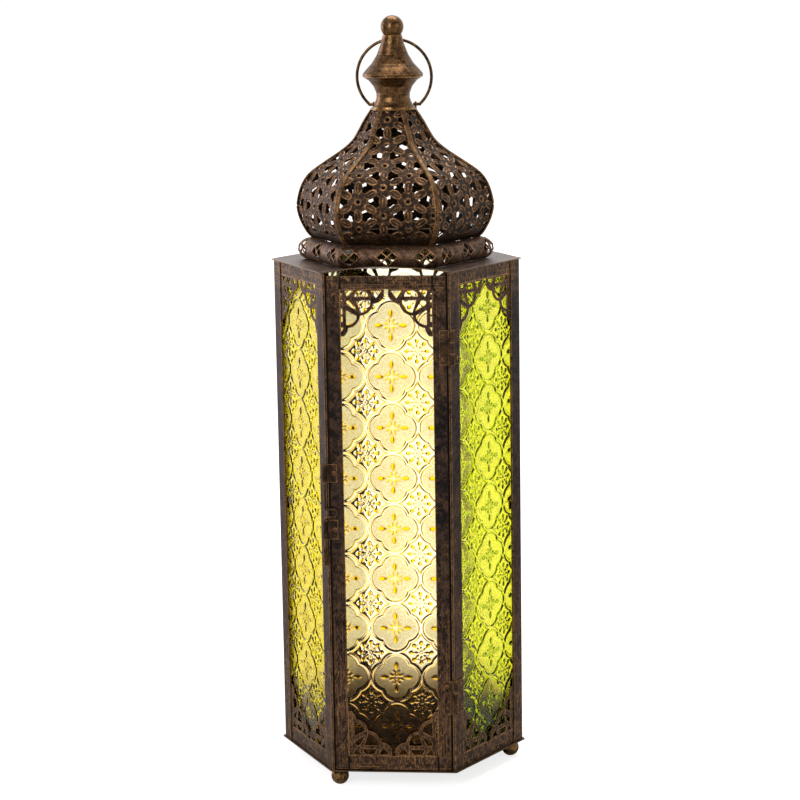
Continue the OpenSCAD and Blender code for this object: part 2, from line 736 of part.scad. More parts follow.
module door_leaf(level) {
    color(dark_bronze) difference() {
        leaf(level - hinge_height / 2, hinge_height, door_leaf_reach, 3, [1], pin_bore);
        rivet_holes(level, door_leaf_reach);
    }
}

module post_leaf(level) {
    color(dark_bronze) face(front_right_turn) mirror([1, 0, 0]) difference() {
        leaf(level - hinge_height / 2, hinge_height, post_leaf_reach, 3, [0, 2], pin_bore);
        rivet_holes(level, post_leaf_reach);
    }
}

module hinge_leaf_door_low() { door_leaf(low_hinge); }
module hinge_leaf_door_high() { door_leaf(high_hinge); }
module hinge_leaf_post_low() { post_leaf(low_hinge); }
module hinge_leaf_post_high() { post_leaf(high_hinge); }

module hinge_pins() {
    head_height = pin_radius;
    color(old_gold) for (z = [low_hinge, high_hinge]) translate([axis_side, -axis_depth, z - hinge_height / 2]) {
        cylinder(r = pin_radius, h = hinge_height + head_height / 2);
        translate([0, 0, hinge_height]) cylinder(r = 1.5 * pin_radius, h = head_height);
    }
}

module rivets_door() {
    color(old_gold) {
        for (z = [low_hinge, high_hinge]) rivet_pair(z, door_leaf_reach, door_wall);
        mirror([1, 0, 0]) rivet((low_bracket_foot + low_bracket_head) / 2, door_leaf_reach, door_wall);
        mirror([1, 0, 0]) rivet((high_bracket_foot + high_bracket_head) / 2, door_leaf_reach, door_wall);
    }
}

module rivets_post() {
    color(old_gold) {
        for (z = [low_hinge, high_hinge])
            face(front_right_turn) mirror([1, 0, 0]) rivet_pair(z, post_leaf_reach, post_wall);
        mirror([1, 0, 0]) face(front_right_turn) mirror([1, 0, 0])
            rivet(keeper_foot + keeper_height / 2, door_leaf_reach, post_wall);
    }
}

// Drop bolt at the left front corner: two brackets on the door, a keeper on the post
module bracket(foot, height) {
    color(dark_bronze) mirror([1, 0, 0]) difference() {
        leaf(foot, height, door_leaf_reach, 1, [0], bolt_bore);
        rivet_hole(foot + height / 2, door_leaf_reach);
    }
}

module latch_bracket_low() { bracket(low_bracket_foot, low_bracket_height); }
module latch_bracket_high() { bracket(high_bracket_foot, high_bracket_height); }

// The keeper's roll is open to the front, so the bolt snaps out of it as the door opens
module latch_keeper() {
    color(dark_bronze) mirror([1, 0, 0]) difference() {
        face(front_right_turn) mirror([1, 0, 0]) difference() {
            leaf(keeper_foot, keeper_height, door_leaf_reach, 1, [0], bolt_bore);
            rivet_hole(keeper_foot + keeper_height / 2, door_leaf_reach);
        }
        translate([axis_side - bolt_bore, -axis_depth - overrun, keeper_foot - overrun])
            cube([2 * bolt_bore, overrun, keeper_height + 2 * overrun]);
    }
}

// An arc of wire about a point of the XZ plane, from angle a through turn
module wire_arc(x, z, radius, a, turn, wire) {
    translate([x, 0, z]) rotate([90, 0, 0]) rotate([0, 0, a])
        rotate_extrude(angle = turn, $fn = 96) translate([radius, 0]) circle(r = wire, $fn = 24);
}

module latch_bolt() {
    foot = keeper_foot + 2 * bolt_radius;
    head = high_bracket_head - 2 * bolt_radius;
    arm = handle_reach - shank_bend - handle_bend;
    color(old_gold) translate([-axis_side, -axis_depth, 0]) {
        translate([0, 0, foot]) cylinder(r = bolt_radius, h = low_arm - shank_bend - foot, $fn = 24);
        wire_arc(shank_bend, low_arm - shank_bend, shank_bend, 90, 90, bolt_radius);
        for (z = [low_arm, high_arm]) translate([shank_bend, 0, z]) rotate([0, 90, 0])
            cylinder(r = bolt_radius, h = arm, $fn = 24);
        wire_arc(shank_bend + arm, low_arm + handle_bend, handle_bend, -90, 180, bolt_radius);
        wire_arc(shank_bend, high_arm + shank_bend, shank_bend, 180, 90, bolt_radius);
        translate([0, 0, high_arm + shank_bend])
            cylinder(r = bolt_radius, h = head - high_arm - shank_bend, $fn = 24);
    }
}

// Dome: a sheet between the outline and the same outline moved sideways
module gore_sheet(near, far) {
    polygon(concat(moved_line(dome_line, near), reversed(moved_line(dome_line, far))));
}

// Runs a drawing of depth and height along the front face
module run(half) {
    translate([half, 0, 0]) rotate([90, 0, -90]) linear_extrude(height = 2 * half) children();
}

// Lays a drawing on the gore of the front face, x across and y up along the dome's outline
module on_gore(x, s) {
    slope = dome_course(s);
    translate([x, -dome_at(s, 0), dome_at(s, 1)]) rotate([atan2(slope[1], -slope[0]), 0, 0])
        translate([0, 0, -2 * dome_wall]) linear_extrude(height = 4 * dome_wall) children();
}

// Clips what reaches into the border along the seams of the front face
module inside_seams(is_near) {
    if (is_near) intersection() {
        children();
        sector(dome_head + overrun, seam_border / tan(30));
    } else children();
}

// One opening: its reach keeps it off the ends of the gore, and off its seams or clipped there
module gore_opening(x, s, reach) {
    half = dome_at(s, 0) * tan(30) - seam_border;
    if (s - reach > end_border && s + reach < dome_length - end_border && abs(x) < half)
        inside_seams(abs(x) + reach > half) on_gore(x, s) children();
}

// A three-tipped opening between three eyelets, its first tip to the given side
module tripod_opening(side) {
    reach = opening_tip_shares[0] * pierce_pitch;
    half = opening_tip_shares[1] * pierce_pitch;
    polygon([for (a = [0, 120, 240], k = [-1, 1])
        side * (reach * toward(a) + k * half * toward(a + 90))]);
}

module gore_openings(shift) {
    columns = ceil(dome_radius / column_pitch);
    rows = ceil(dome_length / pierce_pitch);
    reach = opening_tip_shares[0] * pierce_pitch;
    for (i = [-columns : columns], j = [0 : rows]) {
        x = shift[0] * pierce_pitch + i * column_pitch;
        s = (shift[1] + j + (i % 2 == 0 ? 0 : 0.5) - 0.5) * pierce_pitch;
        gore_opening(x, s, eyelet_radius) circle(r = eyelet_radius, $fn = 12);
        gore_opening(x + column_pitch / 3, s + pierce_pitch / 2, reach) tripod_opening(1);
        gore_opening(x - column_pitch / 3, s + pierce_pitch / 2, reach) tripod_opening(-1);
    }
}

module gore(index) {
    color(bronze) face(60 * index) difference() {
        intersection() {
            run(dome_radius) gore_sheet(0, -dome_wall);
            sector(dome_head + overrun, gore_seam);
        }
        gore_openings(gore_shift_shares[index]);
    }
}

module gore_front() { gore(0); }
module gore_front_right() { gore(1); }
module gore_back_right() { gore(2); }
module gore_back() { gore(3); }
module gore_back_left() { gore(4); }
module gore_front_left() { gore(5); }

// The space under the gore of the front face, over its full width
module under_gore() { run(dome_radius) polygon(concat([[0, dome_foot]], dome_line, [[0, dome_head]])); }

// A strip over the seam on the +X side, seated on the two gores beside it
module dome_rib() {
    edge_drop = rib_width / 2 * tan(30);
    foot = moulding_level + moulding_radius + passing_gap;
    difference() {
        intersection() {
            rotate([90, 0, 0]) translate([0, 0, -rib_width / 2]) linear_extrude(height = rib_width)
                polygon(concat(moved_line(corner_line, rib_wall), reversed(moved_line(corner_line, -2 * edge_drop))));
            translate([0, -rib_width, foot]) cube([2 * dome_radius, 2 * rib_width, dome_head - foot]);
        }
        intersection() {
            face(60) under_gore();
            face(120) under_gore();
        }
    }
}

module dome_ribs() {
    color(old_gold) for (turn = [0 : 60 : 300]) rotate([0, 0, turn]) dome_rib();
}

// Half-round moulding between the roof plate and the dome, mitred at the corners
module moulding_plan() {
    intersection() {
        difference() {
            translate([moulding_depth, moulding_level]) circle(r = moulding_radius, $fn = 64);
            translate([moulding_depth, moulding_level]) circle(r = moulding_radius - moulding_wall, $fn = 64);
        }
        union() {
            translate([moulding_depth, roof_top]) square([plate_side, moulding_radius]);
            translate([dome_foot_depth - dome_wall, moulding_level]) square([plate_side, plate_side]);
        }
    }
}

// A square opening standing on its corner, at an angle above the moulding's centre line
module diamond_opening(x, tilt) {
    translate([x, -moulding_depth, moulding_level]) rotate([90 - tilt, 0, 0])
        translate([0, 0, moulding_radius - 2 * moulding_wall]) rotate([0, 0, 45])
            linear_extrude(height = 3 * moulding_wall) square(diamond_side, center = true);
}

// A group of four such openings
module diamond_group(x) {
    turn = diamond_step / moulding_radius * 180 / PI;
    for (side = [-1, 1]) {
        diamond_opening(x + side * diamond_step, diamond_tilt);
        diamond_opening(x, diamond_tilt + side * turn);
    }
}

module dome_moulding() {
    reach = diamond_step + diamond_side / sqrt(2);
    half = moulding_depth * tan(30);
    color(bronze) for (index = [0 : 5]) face(60 * index) difference() {
        intersection() {
            run(plate_side) moulding_plan();
            sector(dome_head, gore_seam / 2);
        }
        for (i = [-1 : 1]) {
            x = (i + moulding_shift_shares[index]) * diamond_pitch;
            inside_seams(abs(x) + reach > half) diamond_group(x);
        }
    }
}

module dome_collar() {
    color(old_gold) translate([0, 0, dome_head]) difference() {
        cylinder(r = collar_radius, h = collar_wall);
        translate([0, 0, -overrun]) cylinder(r = stud_bore, h = collar_wall + 2 * overrun);
    }
}

// Finial, turned about the lantern's axis round its stud
module turned(shares, height) {
    rotate_extrude($fn = 96) difference() {
        polygon(concat([[0, 0]], from_shares(shares, rim_radius, height), [[0, height]]));
        translate([0, -overrun]) square([stud_bore, height + 2 * overrun]);
    }
}

module finial_drum() { color(old_gold) translate([0, 0, drum_foot]) turned(drum_shares, drum_height); }
module finial_cone() { color(bronze) translate([0, 0, cone_foot]) turned(cone_shares, cone_height); }

module finial_knob() {
    color(bronze) difference() {
        intersection() {
            translate([0, 0, knob_middle]) sphere(r = knob_radius, $fn = 96);
            translate([0, 0, knob_foot]) cylinder(r = 2 * knob_radius, h = 2 * knob_radius);
        }
        translate([0, 0, knob_foot - overrun])
            cylinder(r = stud_bore, h = overrun + stud_head - knob_foot + passing_gap);
    }
}

module finial_stud() {
    color(dark_bronze) translate([0, 0, stud_foot]) cylinder(r = stud_radius, h = stud_head - stud_foot);
}

module finial_nut() {
    nut_height = 2 * stud_radius;
    color(dark_bronze) translate([0, 0, dome_head - nut_height]) difference() {
        cylinder(r = 2.5 * stud_radius, h = nut_height, $fn = 6);
        translate([0, 0, -overrun]) cylinder(r = stud_bore, h = nut_height + 2 * overrun);
    }
}

// Bail: ears that stand on the dome, and a wire ring that leans on the finial's neck
module ear() {
    difference() {
        translate([ear_middle - ear_wall / 2, pivot_depth, pivot_level]) union() {
            rotate([0, 90, 0]) cylinder(r = ear_radius, h = ear_wall);
            translate([0, -ear_radius, -dome_height / 4]) cube([ear_wall, 2 * ear_radius, dome_height / 4]);
        }
        translate([0, pivot_depth, pivot_level]) rotate([0, 90, 0])
            cylinder(r = bail_wire + loose_gap, h = 2 * bail_foot);
        face(back_right_turn) under_gore();
    }
}

module bail_ears() { color(old_gold) for (side = [0, 1]) mirror([side, 0, 0]) ear(); }

module bail_ring() {
    tip = ear_middle - ear_wall / 2 - bail_wire; // where the wire ends, inside the ear
    color(dark_bronze) translate([0, pivot_depth, pivot_level]) rotate([bail_tilt, 0, 0]) {
        wire_arc(0, bail_middle, bail_radius, -bail_foot_turn, 180 + 2 * bail_foot_turn, bail_wire);
        for (side = [0, 1]) mirror([side, 0, 0]) {
            translate([bail_foot, 0, 0]) sphere(r = bail_bead, $fn = 24);
            translate([tip, 0, 0]) rotate([0, 90, 0])
                cylinder(r = bail_wire, h = bail_foot - tip, $fn = 24);
        }
    }
}

base_tray();
candle_cup();
foot_front_left();
foot_right();
foot_back_left();
foot_nuts();
post_right();
post_back_right();
post_back_left();
post_left();
post_front_left();
post_front_right();
frame_front_right();
frame_back_right();
frame_back();
frame_back_left();
frame_front_left();
fretwork_front_right();
fretwork_back_right();
fretwork_back();
fretwork_back_left();
fretwork_front_left();
glass_front_right();
glass_back_right();
glass_back();
glass_back_left();
glass_front_left();
glass_clips();
roof_plate();
dome_moulding();
gore_front();
gore_front_right();
gore_back_right();
gore_back();
gore_back_left();
gore_front_left();
dome_ribs();
dome_collar();
finial_drum();
finial_cone();
finial_knob();
finial_stud();
finial_nut();
bail_ears();
bail_ring();
door_frame();
door_fretwork();
door_glass();
door_clips();
hinge_leaf_door_low();
hinge_leaf_door_high();
hinge_leaf_post_low();
hinge_leaf_post_high();
hinge_pins();
rivets_door();
rivets_post();
latch_bracket_low();
latch_bracket_high();
latch_bolt();
latch_keeper();
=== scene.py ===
import math

import bpy
import numpy as np
from mathutils import Matrix, Vector


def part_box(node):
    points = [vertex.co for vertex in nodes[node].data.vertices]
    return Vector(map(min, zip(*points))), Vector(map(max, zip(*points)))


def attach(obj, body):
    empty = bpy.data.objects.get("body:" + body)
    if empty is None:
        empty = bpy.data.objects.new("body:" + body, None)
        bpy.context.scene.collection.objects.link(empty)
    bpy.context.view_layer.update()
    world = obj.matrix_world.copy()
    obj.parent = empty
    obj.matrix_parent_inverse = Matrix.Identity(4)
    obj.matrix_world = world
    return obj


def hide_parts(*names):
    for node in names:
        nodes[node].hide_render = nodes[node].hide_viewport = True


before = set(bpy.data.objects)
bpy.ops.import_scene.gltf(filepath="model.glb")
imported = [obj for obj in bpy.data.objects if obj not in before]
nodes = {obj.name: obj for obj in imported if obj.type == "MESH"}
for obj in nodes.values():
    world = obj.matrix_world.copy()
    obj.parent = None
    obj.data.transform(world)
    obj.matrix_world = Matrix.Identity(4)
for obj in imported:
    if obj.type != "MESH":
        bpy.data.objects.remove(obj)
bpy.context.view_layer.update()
mm = 0.001
cos30, sin30, tan30 = math.cos(math.pi / 6), 0.5, math.tan(math.pi / 6)
faces = ("front", "front_right", "back_right", "back", "back_left", "front_left")
faceTurns = {face: 60 * i for i, face in enumerate(faces)}  # degrees about the axis
outOfReach = 99.0  # a distance in mm that no figure comes near
print("frame loaded:", len(nodes), "CAD nodes")


def addObject(name, data):
    thing = bpy.data.objects.new(name, data)
    bpy.context.collection.objects.link(thing)
    return thing


def pieceName(start, face):
    return start + face.title().replace("_", "")


# Shader helpers: a value is a number, a colour or another node's socket


def addNode(tree, kind, **settings):
    node = tree.nodes.new(kind)
    for key, value in settings.items():
        if key in node.inputs.keys():
            node.inputs[key].default_value = value
        else:
            setattr(node, key, value)
    return node


def chained(tree, source, kind, socket=0, **settings):  # a new node after source, as its first output
    node = addNode(tree, kind, **settings)
    tree.links.new(source, node.inputs[socket])
    return node.outputs[0]


def plug(tree, value, socket):
    if isinstance(value, bpy.types.NodeSocket):
        tree.links.new(value, socket)
    elif value is not None:
        socket.default_value = value


def opaque(color):
    return (*color, 1) if isinstance(color, tuple) else color


def mixColor(tree, factor, low, high, blend="MIX"):
    node = tree.nodes.new("ShaderNodeMix")
    node.data_type = "RGBA"
    node.blend_type = blend
    plug(tree, factor, node.inputs[0])
    plug(tree, opaque(low), node.inputs[6])  # 6 and 7 are the colours A and B
    plug(tree, opaque(high), node.inputs[7])
    return node.outputs[2]


def tinted(tree, color, tint):
    return mixColor(tree, 1.0, color, tint, "MULTIPLY")


def mathNode(tree, operation, a, b=0.0, clamp=False):
    node = tree.nodes.new("ShaderNodeMath")
    node.operation = operation
    node.use_clamp = clamp
    plug(tree, a, node.inputs[0])
    plug(tree, b, node.inputs[1])
    return node.outputs[0]


def times(tree, a, b, clamp=False):
    return mathNode(tree, "MULTIPLY", a, b, clamp)


def plus(tree, a, b):
    return mathNode(tree, "ADD", a, b)


def minus(tree, a, b, clamp=False):
    return mathNode(tree, "SUBTRACT", a, b, clamp)


def most(tree, a, b, clamp=False):
    return mathNode(tree, "MAXIMUM", a, b, clamp)


def ramp(tree, value, span):  # 0 below the span, 1 above it
    node = tree.nodes.new("ShaderNodeMapRange")
    node.interpolation_type = "SMOOTHSTEP"
    tree.links.new(value, node.inputs["Value"])
    node.inputs["From Min"].default_value, node.inputs["From Max"].default_value = span
    return node.outputs[0]


def noise(tree, vector, scale=1.0, detail=3.0, rough=0.55):
    return chained(tree, vector, "ShaderNodeTexNoise", "Vector",
                   Scale=scale, Detail=detail, Roughness=rough)


def vectorNode(tree, operation, a, b=None, result="Value"):
    node = tree.nodes.new("ShaderNodeVectorMath")
    node.operation = operation
    plug(tree, a, node.inputs[0])
    plug(tree, b, node.inputs[1])
    return node.outputs[result]


def axesOf(tree, vector):
    split = tree.nodes.new("ShaderNodeSeparateXYZ")
    tree.links.new(vector, split.inputs[0])
    return split.outputs


def objectPlace(tree):
    return tree.nodes.new("ShaderNodeTexCoord").outputs["Object"]


def attribute(tree, name):
    return addNode(tree, "ShaderNodeAttribute", attribute_name=name).outputs["Fac"]


def newMaterial(name):
    material = bpy.data.materials.new(name)
    material.use_nodes = True
    tree = material.node_tree
    tree.nodes.clear()
    return material, tree


def principled(tree, settings):
    shader = addNode(tree, "ShaderNodeBsdfPrincipled", **settings)
    output = tree.nodes.new("ShaderNodeOutputMaterial")
    tree.links.new(shader.outputs[0], output.inputs[0])
    return shader


# Aged metal, with painted shade inside and painted light near foot, head and edges: one group for every finish
# of it. Lengths and levels are in metres here.

aged = {
    "clouds": {"scale": 34, "detail": 4}, "mottle": {"scale": 230, "detail": 4, "rough": 0.6},
    "blots": {"scale": 95, "detail": 3, "rough": 0.6}, "grain": {"scale": 1500, "detail": 3, "rough": 0.6},
    "streak": {"scale": 1, "detail": 4, "rough": 0.7},
    "dabs": (780, 780, 260), "upright": (900, 900, 24), "level": (24, 24, 900),
    "warmAt": (0.4, 0.62), "patchAt": (0.42, 0.66), "blotAt": (0.52, 0.64), "blotTint": (0.6, 0.6, 0.65),
    "bevel": {"samples": 4, "Radius": 0.001}, "edgeAt": (0.006, 0.07),
    "wornAt": (0.25, 0.55), "raisedAt": (0.36, 0.64),
    # foot and head, and the first share on the next line, place painted light near the ends; the rails'
    # heights lay the streaks level
    "foot": (0.02, 0.25), "head": (0.37, 0.41), "highRail": 0.385, "lowRail": 0.0195,
    "litEndsShare": 0.7, "cloudAt": (0.45, 0.7), "cloudShare": 0.4,
    "dabAt": (0.48, 0.66), "streakAt": (0.5, 0.66), "streakShare": 0.8,
    # the next three values place and tint painted shade on faces inside the lantern
    "facesIn": (0.3, 0.6), "wallRadius": (0.05, 0.06), "insideShadeTint": (0.25, 0.22, 0.2),
    "speckleAt": (0.35, 0.65), "speckleDark": (0.42, 0.42, 0.42), "speckleLight": (1.35, 1.35, 1.35),
    "speckle": 0.85, "rough": 0.34, "mottleRough": 0.3, "wornPolish": 0.12,
    "grainHeight": 0.25, "cloudHeight": 2.5, "bumpDepth": 0.0004, "lacquerRough": 0.3,
}


def agedSockets(tree):
    inputs = {"Dark": (0.03, 0.02, 0.015, 1), "Warm": (0.08, 0.05, 0.035, 1), "Rubbed And Lit": (0.4, 0.25, 0.11, 1),
              "Patches": 0.5, "Edge Wear And Glint": 0.6, "Brushing": 0.4, "Blots": 0.65, "Polish": 0.0,
              "Raised": 0.0, "Inside": 0.0}
    for name, value in inputs.items():
        kind = "NodeSocketColor" if isinstance(value, tuple) else "NodeSocketFloat"
        socket = tree.interface.new_socket(name=name, in_out="INPUT", socket_type=kind)
        socket.default_value = value
    outputs = {"Color": "NodeSocketColor", "Roughness": "NodeSocketFloat", "Height": "NodeSocketFloat"}
    for name, kind in outputs.items():
        tree.interface.new_socket(name=name, in_out="OUTPUT", socket_type=kind)


def edgeMask(tree, normal):  # 1 along the edges of a piece, where real wear and a painted glint go
    bevel = addNode(tree, "ShaderNodeBevel", **aged["bevel"])
    meet = vectorNode(tree, "DOT_PRODUCT", bevel.outputs[0], normal)
    return ramp(tree, minus(tree, 1.0, meet), aged["edgeAt"])


def inwardShadeMask(tree, place, normal, inside):  # painted shade: 1 on the walls' faces that look inwards, and where inside is
    outward = vectorNode(tree, "MULTIPLY", place, (1, 1, 0), "Vector")
    local = chained(tree, normal, "ShaderNodeVectorTransform", vector_type="NORMAL",
                    convert_from="WORLD", convert_to="OBJECT")
    ray = vectorNode(tree, "NORMALIZE", outward, result="Vector")
    away = vectorNode(tree, "DOT_PRODUCT", ray, local)
    radius = vectorNode(tree, "LENGTH", outward)
    inward = ramp(tree, times(tree, away, -1.0), aged["facesIn"])
    inward = times(tree, inward, ramp(tree, radius, aged["wallRadius"]))
    return most(tree, inward, inside, clamp=True)


def rubbingAndLitEndsMask(tree, place, clouds):  # dabs and streaks along stiles and rails; their greater share near foot and head is painted light, leaving mid-height darker
    height = axesOf(tree, place)[2]
    stretched = (chained(tree, place, "ShaderNodeMapping", Scale=aged[key])
                 for key in ("dabs", "upright", "level"))
    dabs, upright, level = (noise(tree, vector, **aged["streak"]) for vector in stretched)
    rails = most(tree, mathNode(tree, "GREATER_THAN", height, aged["highRail"]),
                 mathNode(tree, "LESS_THAN", height, aged["lowRail"]))
    streaks = plus(tree, times(tree, upright, minus(tree, 1.0, rails)), times(tree, level, rails))
    # painted light: the rubbed colour grows towards foot and head
    ends = plus(tree, minus(tree, 1.0, ramp(tree, height, aged["foot"])),
                ramp(tree, height, aged["head"]))
    share = plus(tree, times(tree, ends, aged["litEndsShare"]),
                 times(tree, ramp(tree, clouds, aged["cloudAt"]), aged["cloudShare"]))
    strokes = most(tree, ramp(tree, dabs, aged["dabAt"]),
                   times(tree, ramp(tree, streaks, aged["streakAt"]), aged["streakShare"]))
    return times(tree, strokes, share)


def buildAgedMetalAndPaintedLight():
    tree = bpy.data.node_groups.new("agedMetalAndPaintedLight", "ShaderNodeTree")
    agedSockets(tree)
    start = tree.nodes.new("NodeGroupInput").outputs
    end = tree.nodes.new("NodeGroupOutput").inputs
    place = objectPlace(tree)
    normal = tree.nodes.new("ShaderNodeNewGeometry").outputs["Normal"]
    clouds, mottle, blots, grain = (noise(tree, place, **aged[key])
                                    for key in ("clouds", "mottle", "blots", "grain"))

    color = mixColor(tree, ramp(tree, mottle, aged["warmAt"]), start["Dark"], start["Warm"])
    patches = times(tree, ramp(tree, clouds, aged["patchAt"]), start["Patches"])
    color = mixColor(tree, patches, color, start["Warm"])
    black = times(tree, ramp(tree, blots, aged["blotAt"]), start["Blots"])
    color = mixColor(tree, black, color, tinted(tree, start["Dark"], aged["blotTint"]))
    # rubbed colour in streaks, with painted light near foot and head
    brushedAndLit = times(tree, rubbingAndLitEndsMask(tree, place, clouds), start["Brushing"], clamp=True)
    color = mixColor(tree, brushedAndLit, color, start["Rubbed And Lit"])
    # edges take the rubbed colour, partly real wear and partly painted glint; rubbed relief joins them
    wornAndGlint = times(tree, edgeMask(tree, normal), ramp(tree, mottle, aged["wornAt"]))
    wornAndGlint = times(tree, wornAndGlint, start["Edge Wear And Glint"])
    raised = times(tree, start["Raised"], ramp(tree, mottle, aged["raisedAt"]))
    wornAndGlint = most(tree, wornAndGlint, raised, clamp=True)
    color = mixColor(tree, wornAndGlint, color, start["Rubbed And Lit"])
    speckle = mixColor(tree, ramp(tree, grain, aged["speckleAt"]),
                       aged["speckleDark"], aged["speckleLight"])
    color = mixColor(tree, aged["speckle"], color, speckle, "MULTIPLY")
    # painted shade: faces that look into the lantern and the sheets' inner layers are darkened
    inner = inwardShadeMask(tree, place, normal, start["Inside"])
    color = mixColor(tree, inner, color, tinted(tree, color, aged["insideShadeTint"]))
    tree.links.new(color, end["Color"])

    rough = plus(tree, aged["rough"], times(tree, mottle, aged["mottleRough"]))
    rough = minus(tree, rough, times(tree, wornAndGlint, aged["wornPolish"]))
    tree.links.new(minus(tree, rough, start["Polish"], clamp=True), end["Roughness"])
    height = plus(tree, times(tree, grain, aged["grainHeight"]), mottle)
    height = plus(tree, height, times(tree, clouds, aged["cloudHeight"]))
    tree.links.new(height, end["Height"])
    return tree


agedMetalAndPaintedLight = buildAgedMetalAndPaintedLight()

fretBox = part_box("door_fretwork")
jointAndGapShadowLook = {"at": fretBox[1][0], "half": 0.0007, "top": fretBox[1][2], "foot": fretBox[0][2],
             "rim": fretBox[1][0] + 0.011 - 0.0009,  # a stile's width less the painted gap shadow's
             "color": (0.006, 0.004, 0.003)}


def jointLinesAndGapShadow(tree, color, look):  # dark lines where rails meet stiles, and painted shadow round the door's edge where it meets the posts
    across, _, height = axesOf(tree, objectPlace(tree))
    across = mathNode(tree, "ABSOLUTE", across)
    aside = mathNode(tree, "ABSOLUTE", minus(tree, across, look["at"]))
    line = mathNode(tree, "LESS_THAN", aside, look["half"])
    # painted shadow: the door's outer edge is darkened like the gap beside the posts
    rim = mathNode(tree, "GREATER_THAN", across, look["rim"])
    beyond = most(tree, mathNode(tree, "GREATER_THAN", height, look["top"]),
                  mathNode(tree, "LESS_THAN", height, look["foot"]))
    return mixColor(tree, most(tree, times(tree, line, beyond), rim), color, look["color"])


def metalMaterial(name, look):
    material, tree = newMaterial(name)
    shader = principled(tree, {"Metallic": look["metallic"], "Coat Weight": look.get("lacquer", 0.0),
                               "Coat Roughness": aged["lacquerRough"]})
    group = tree.nodes.new("ShaderNodeGroup")
    group.node_tree = agedMetalAndPaintedLight
    for key, value in look.items():
        if key in group.inputs.keys():
            group.inputs[key].default_value = opaque(value)
    for key in ("Raised", "Inside"):
        tree.links.new(attribute(tree, key.lower()), group.inputs[key])
    color = group.outputs["Color"]
    if "joint" in look:
        color = jointLinesAndGapShadow(tree, color, look["joint"])
    tree.links.new(color, shader.inputs["Base Color"])
    tree.links.new(group.outputs["Roughness"], shader.inputs["Roughness"])
    bump = chained(tree, group.outputs["Height"], "ShaderNodeBump", "Height",
                   Strength=look["bump"], Distance=aged["bumpDepth"])
    tree.links.new(bump, shader.inputs["Normal"])
    return material


finishes = {
    "sheet": {"Dark": (0.01, 0.008, 0.008), "Warm": (0.06, 0.036, 0.026), "Rubbed And Lit": (0.48, 0.26, 0.11),
              "Patches": 0.3, "Edge Wear And Glint": 1.0, "Brushing": 0.85, "metallic": 0.8, "bump": 0.35},
    # painted shade: the tray is darker as it lies inside the lantern
    "tray": {"Dark": (0.01, 0.006, 0.004), "Warm": (0.026, 0.014, 0.008), "Rubbed And Lit": (0.34, 0.19, 0.07),
             "Patches": 0.5, "Edge Wear And Glint": 0.8, "Brushing": 0.1, "metallic": 0.5, "bump": 0.35},
    "roof": {"Dark": (0.034, 0.025, 0.022), "Warm": (0.14, 0.093, 0.073), "Rubbed And Lit": (0.4, 0.23, 0.12),
             "Patches": 0.5, "Edge Wear And Glint": 1.0, "Brushing": 0.4, "metallic": 0.75, "bump": 0.35,
             "Blots": 0.3, "lacquer": 0.35},
    "dome": {"Dark": (0.008, 0.006, 0.005), "Warm": (0.03, 0.018, 0.013), "Rubbed And Lit": (0.54, 0.29, 0.125),
             "Patches": 0.4, "Edge Wear And Glint": 0.6, "Brushing": 0.2, "metallic": 0.8, "bump": 0.3},
    "roll": {"Dark": (0.036, 0.023, 0.018), "Warm": (0.2, 0.124, 0.088), "Rubbed And Lit": (0.44, 0.24, 0.11),
             "Patches": 0.6, "Edge Wear And Glint": 0.6, "Brushing": 0.6, "metallic": 0.8, "bump": 0.3},
    "turned": {"Dark": (0.05, 0.028, 0.015), "Warm": (0.19, 0.1, 0.045), "Rubbed And Lit": (0.66, 0.38, 0.13),
               "Patches": 0.5, "Edge Wear And Glint": 0.8, "Brushing": 0.3, "metallic": 0.95, "bump": 0.2,
               "Blots": 0.15, "Polish": 0.16},
    "bail": {"Dark": (0.04, 0.023, 0.013), "Warm": (0.15, 0.08, 0.036), "Rubbed And Lit": (0.66, 0.38, 0.13),
             "Patches": 0.5, "Edge Wear And Glint": 0.3, "Brushing": 0.3, "metallic": 0.95, "bump": 0.2,
             "Blots": 0.2, "Polish": 0.14},
    "strip": {"Dark": (0.05, 0.028, 0.014), "Warm": (0.19, 0.102, 0.043), "Rubbed And Lit": (0.55, 0.31, 0.12),
              "Patches": 0.7, "Edge Wear And Glint": 0.8, "Brushing": 0.5, "metallic": 0.85, "bump": 0.3},
    "hardware": {"Dark": (0.02, 0.012, 0.008), "Warm": (0.075, 0.041, 0.023), "Rubbed And Lit": (0.5, 0.27, 0.11),
                 "Patches": 0.5, "Edge Wear And Glint": 1.0, "Brushing": 0.5, "metallic": 0.8, "bump": 0.4},
    "ball": {"Dark": (0.03, 0.017, 0.009), "Warm": (0.22, 0.115, 0.046), "Rubbed And Lit": (0.75, 0.43, 0.16),
             "Patches": 0.3, "Edge Wear And Glint": 0.6, "Brushing": 0.7, "metallic": 0.85, "bump": 0.3},
}
finishes["door"] = {**finishes["sheet"], "Warm": (0.070, 0.041, 0.029), "joint": jointAndGapShadowLook}
metals = {key: metalMaterial(key + "Bronze", look) for key, look in finishes.items()}
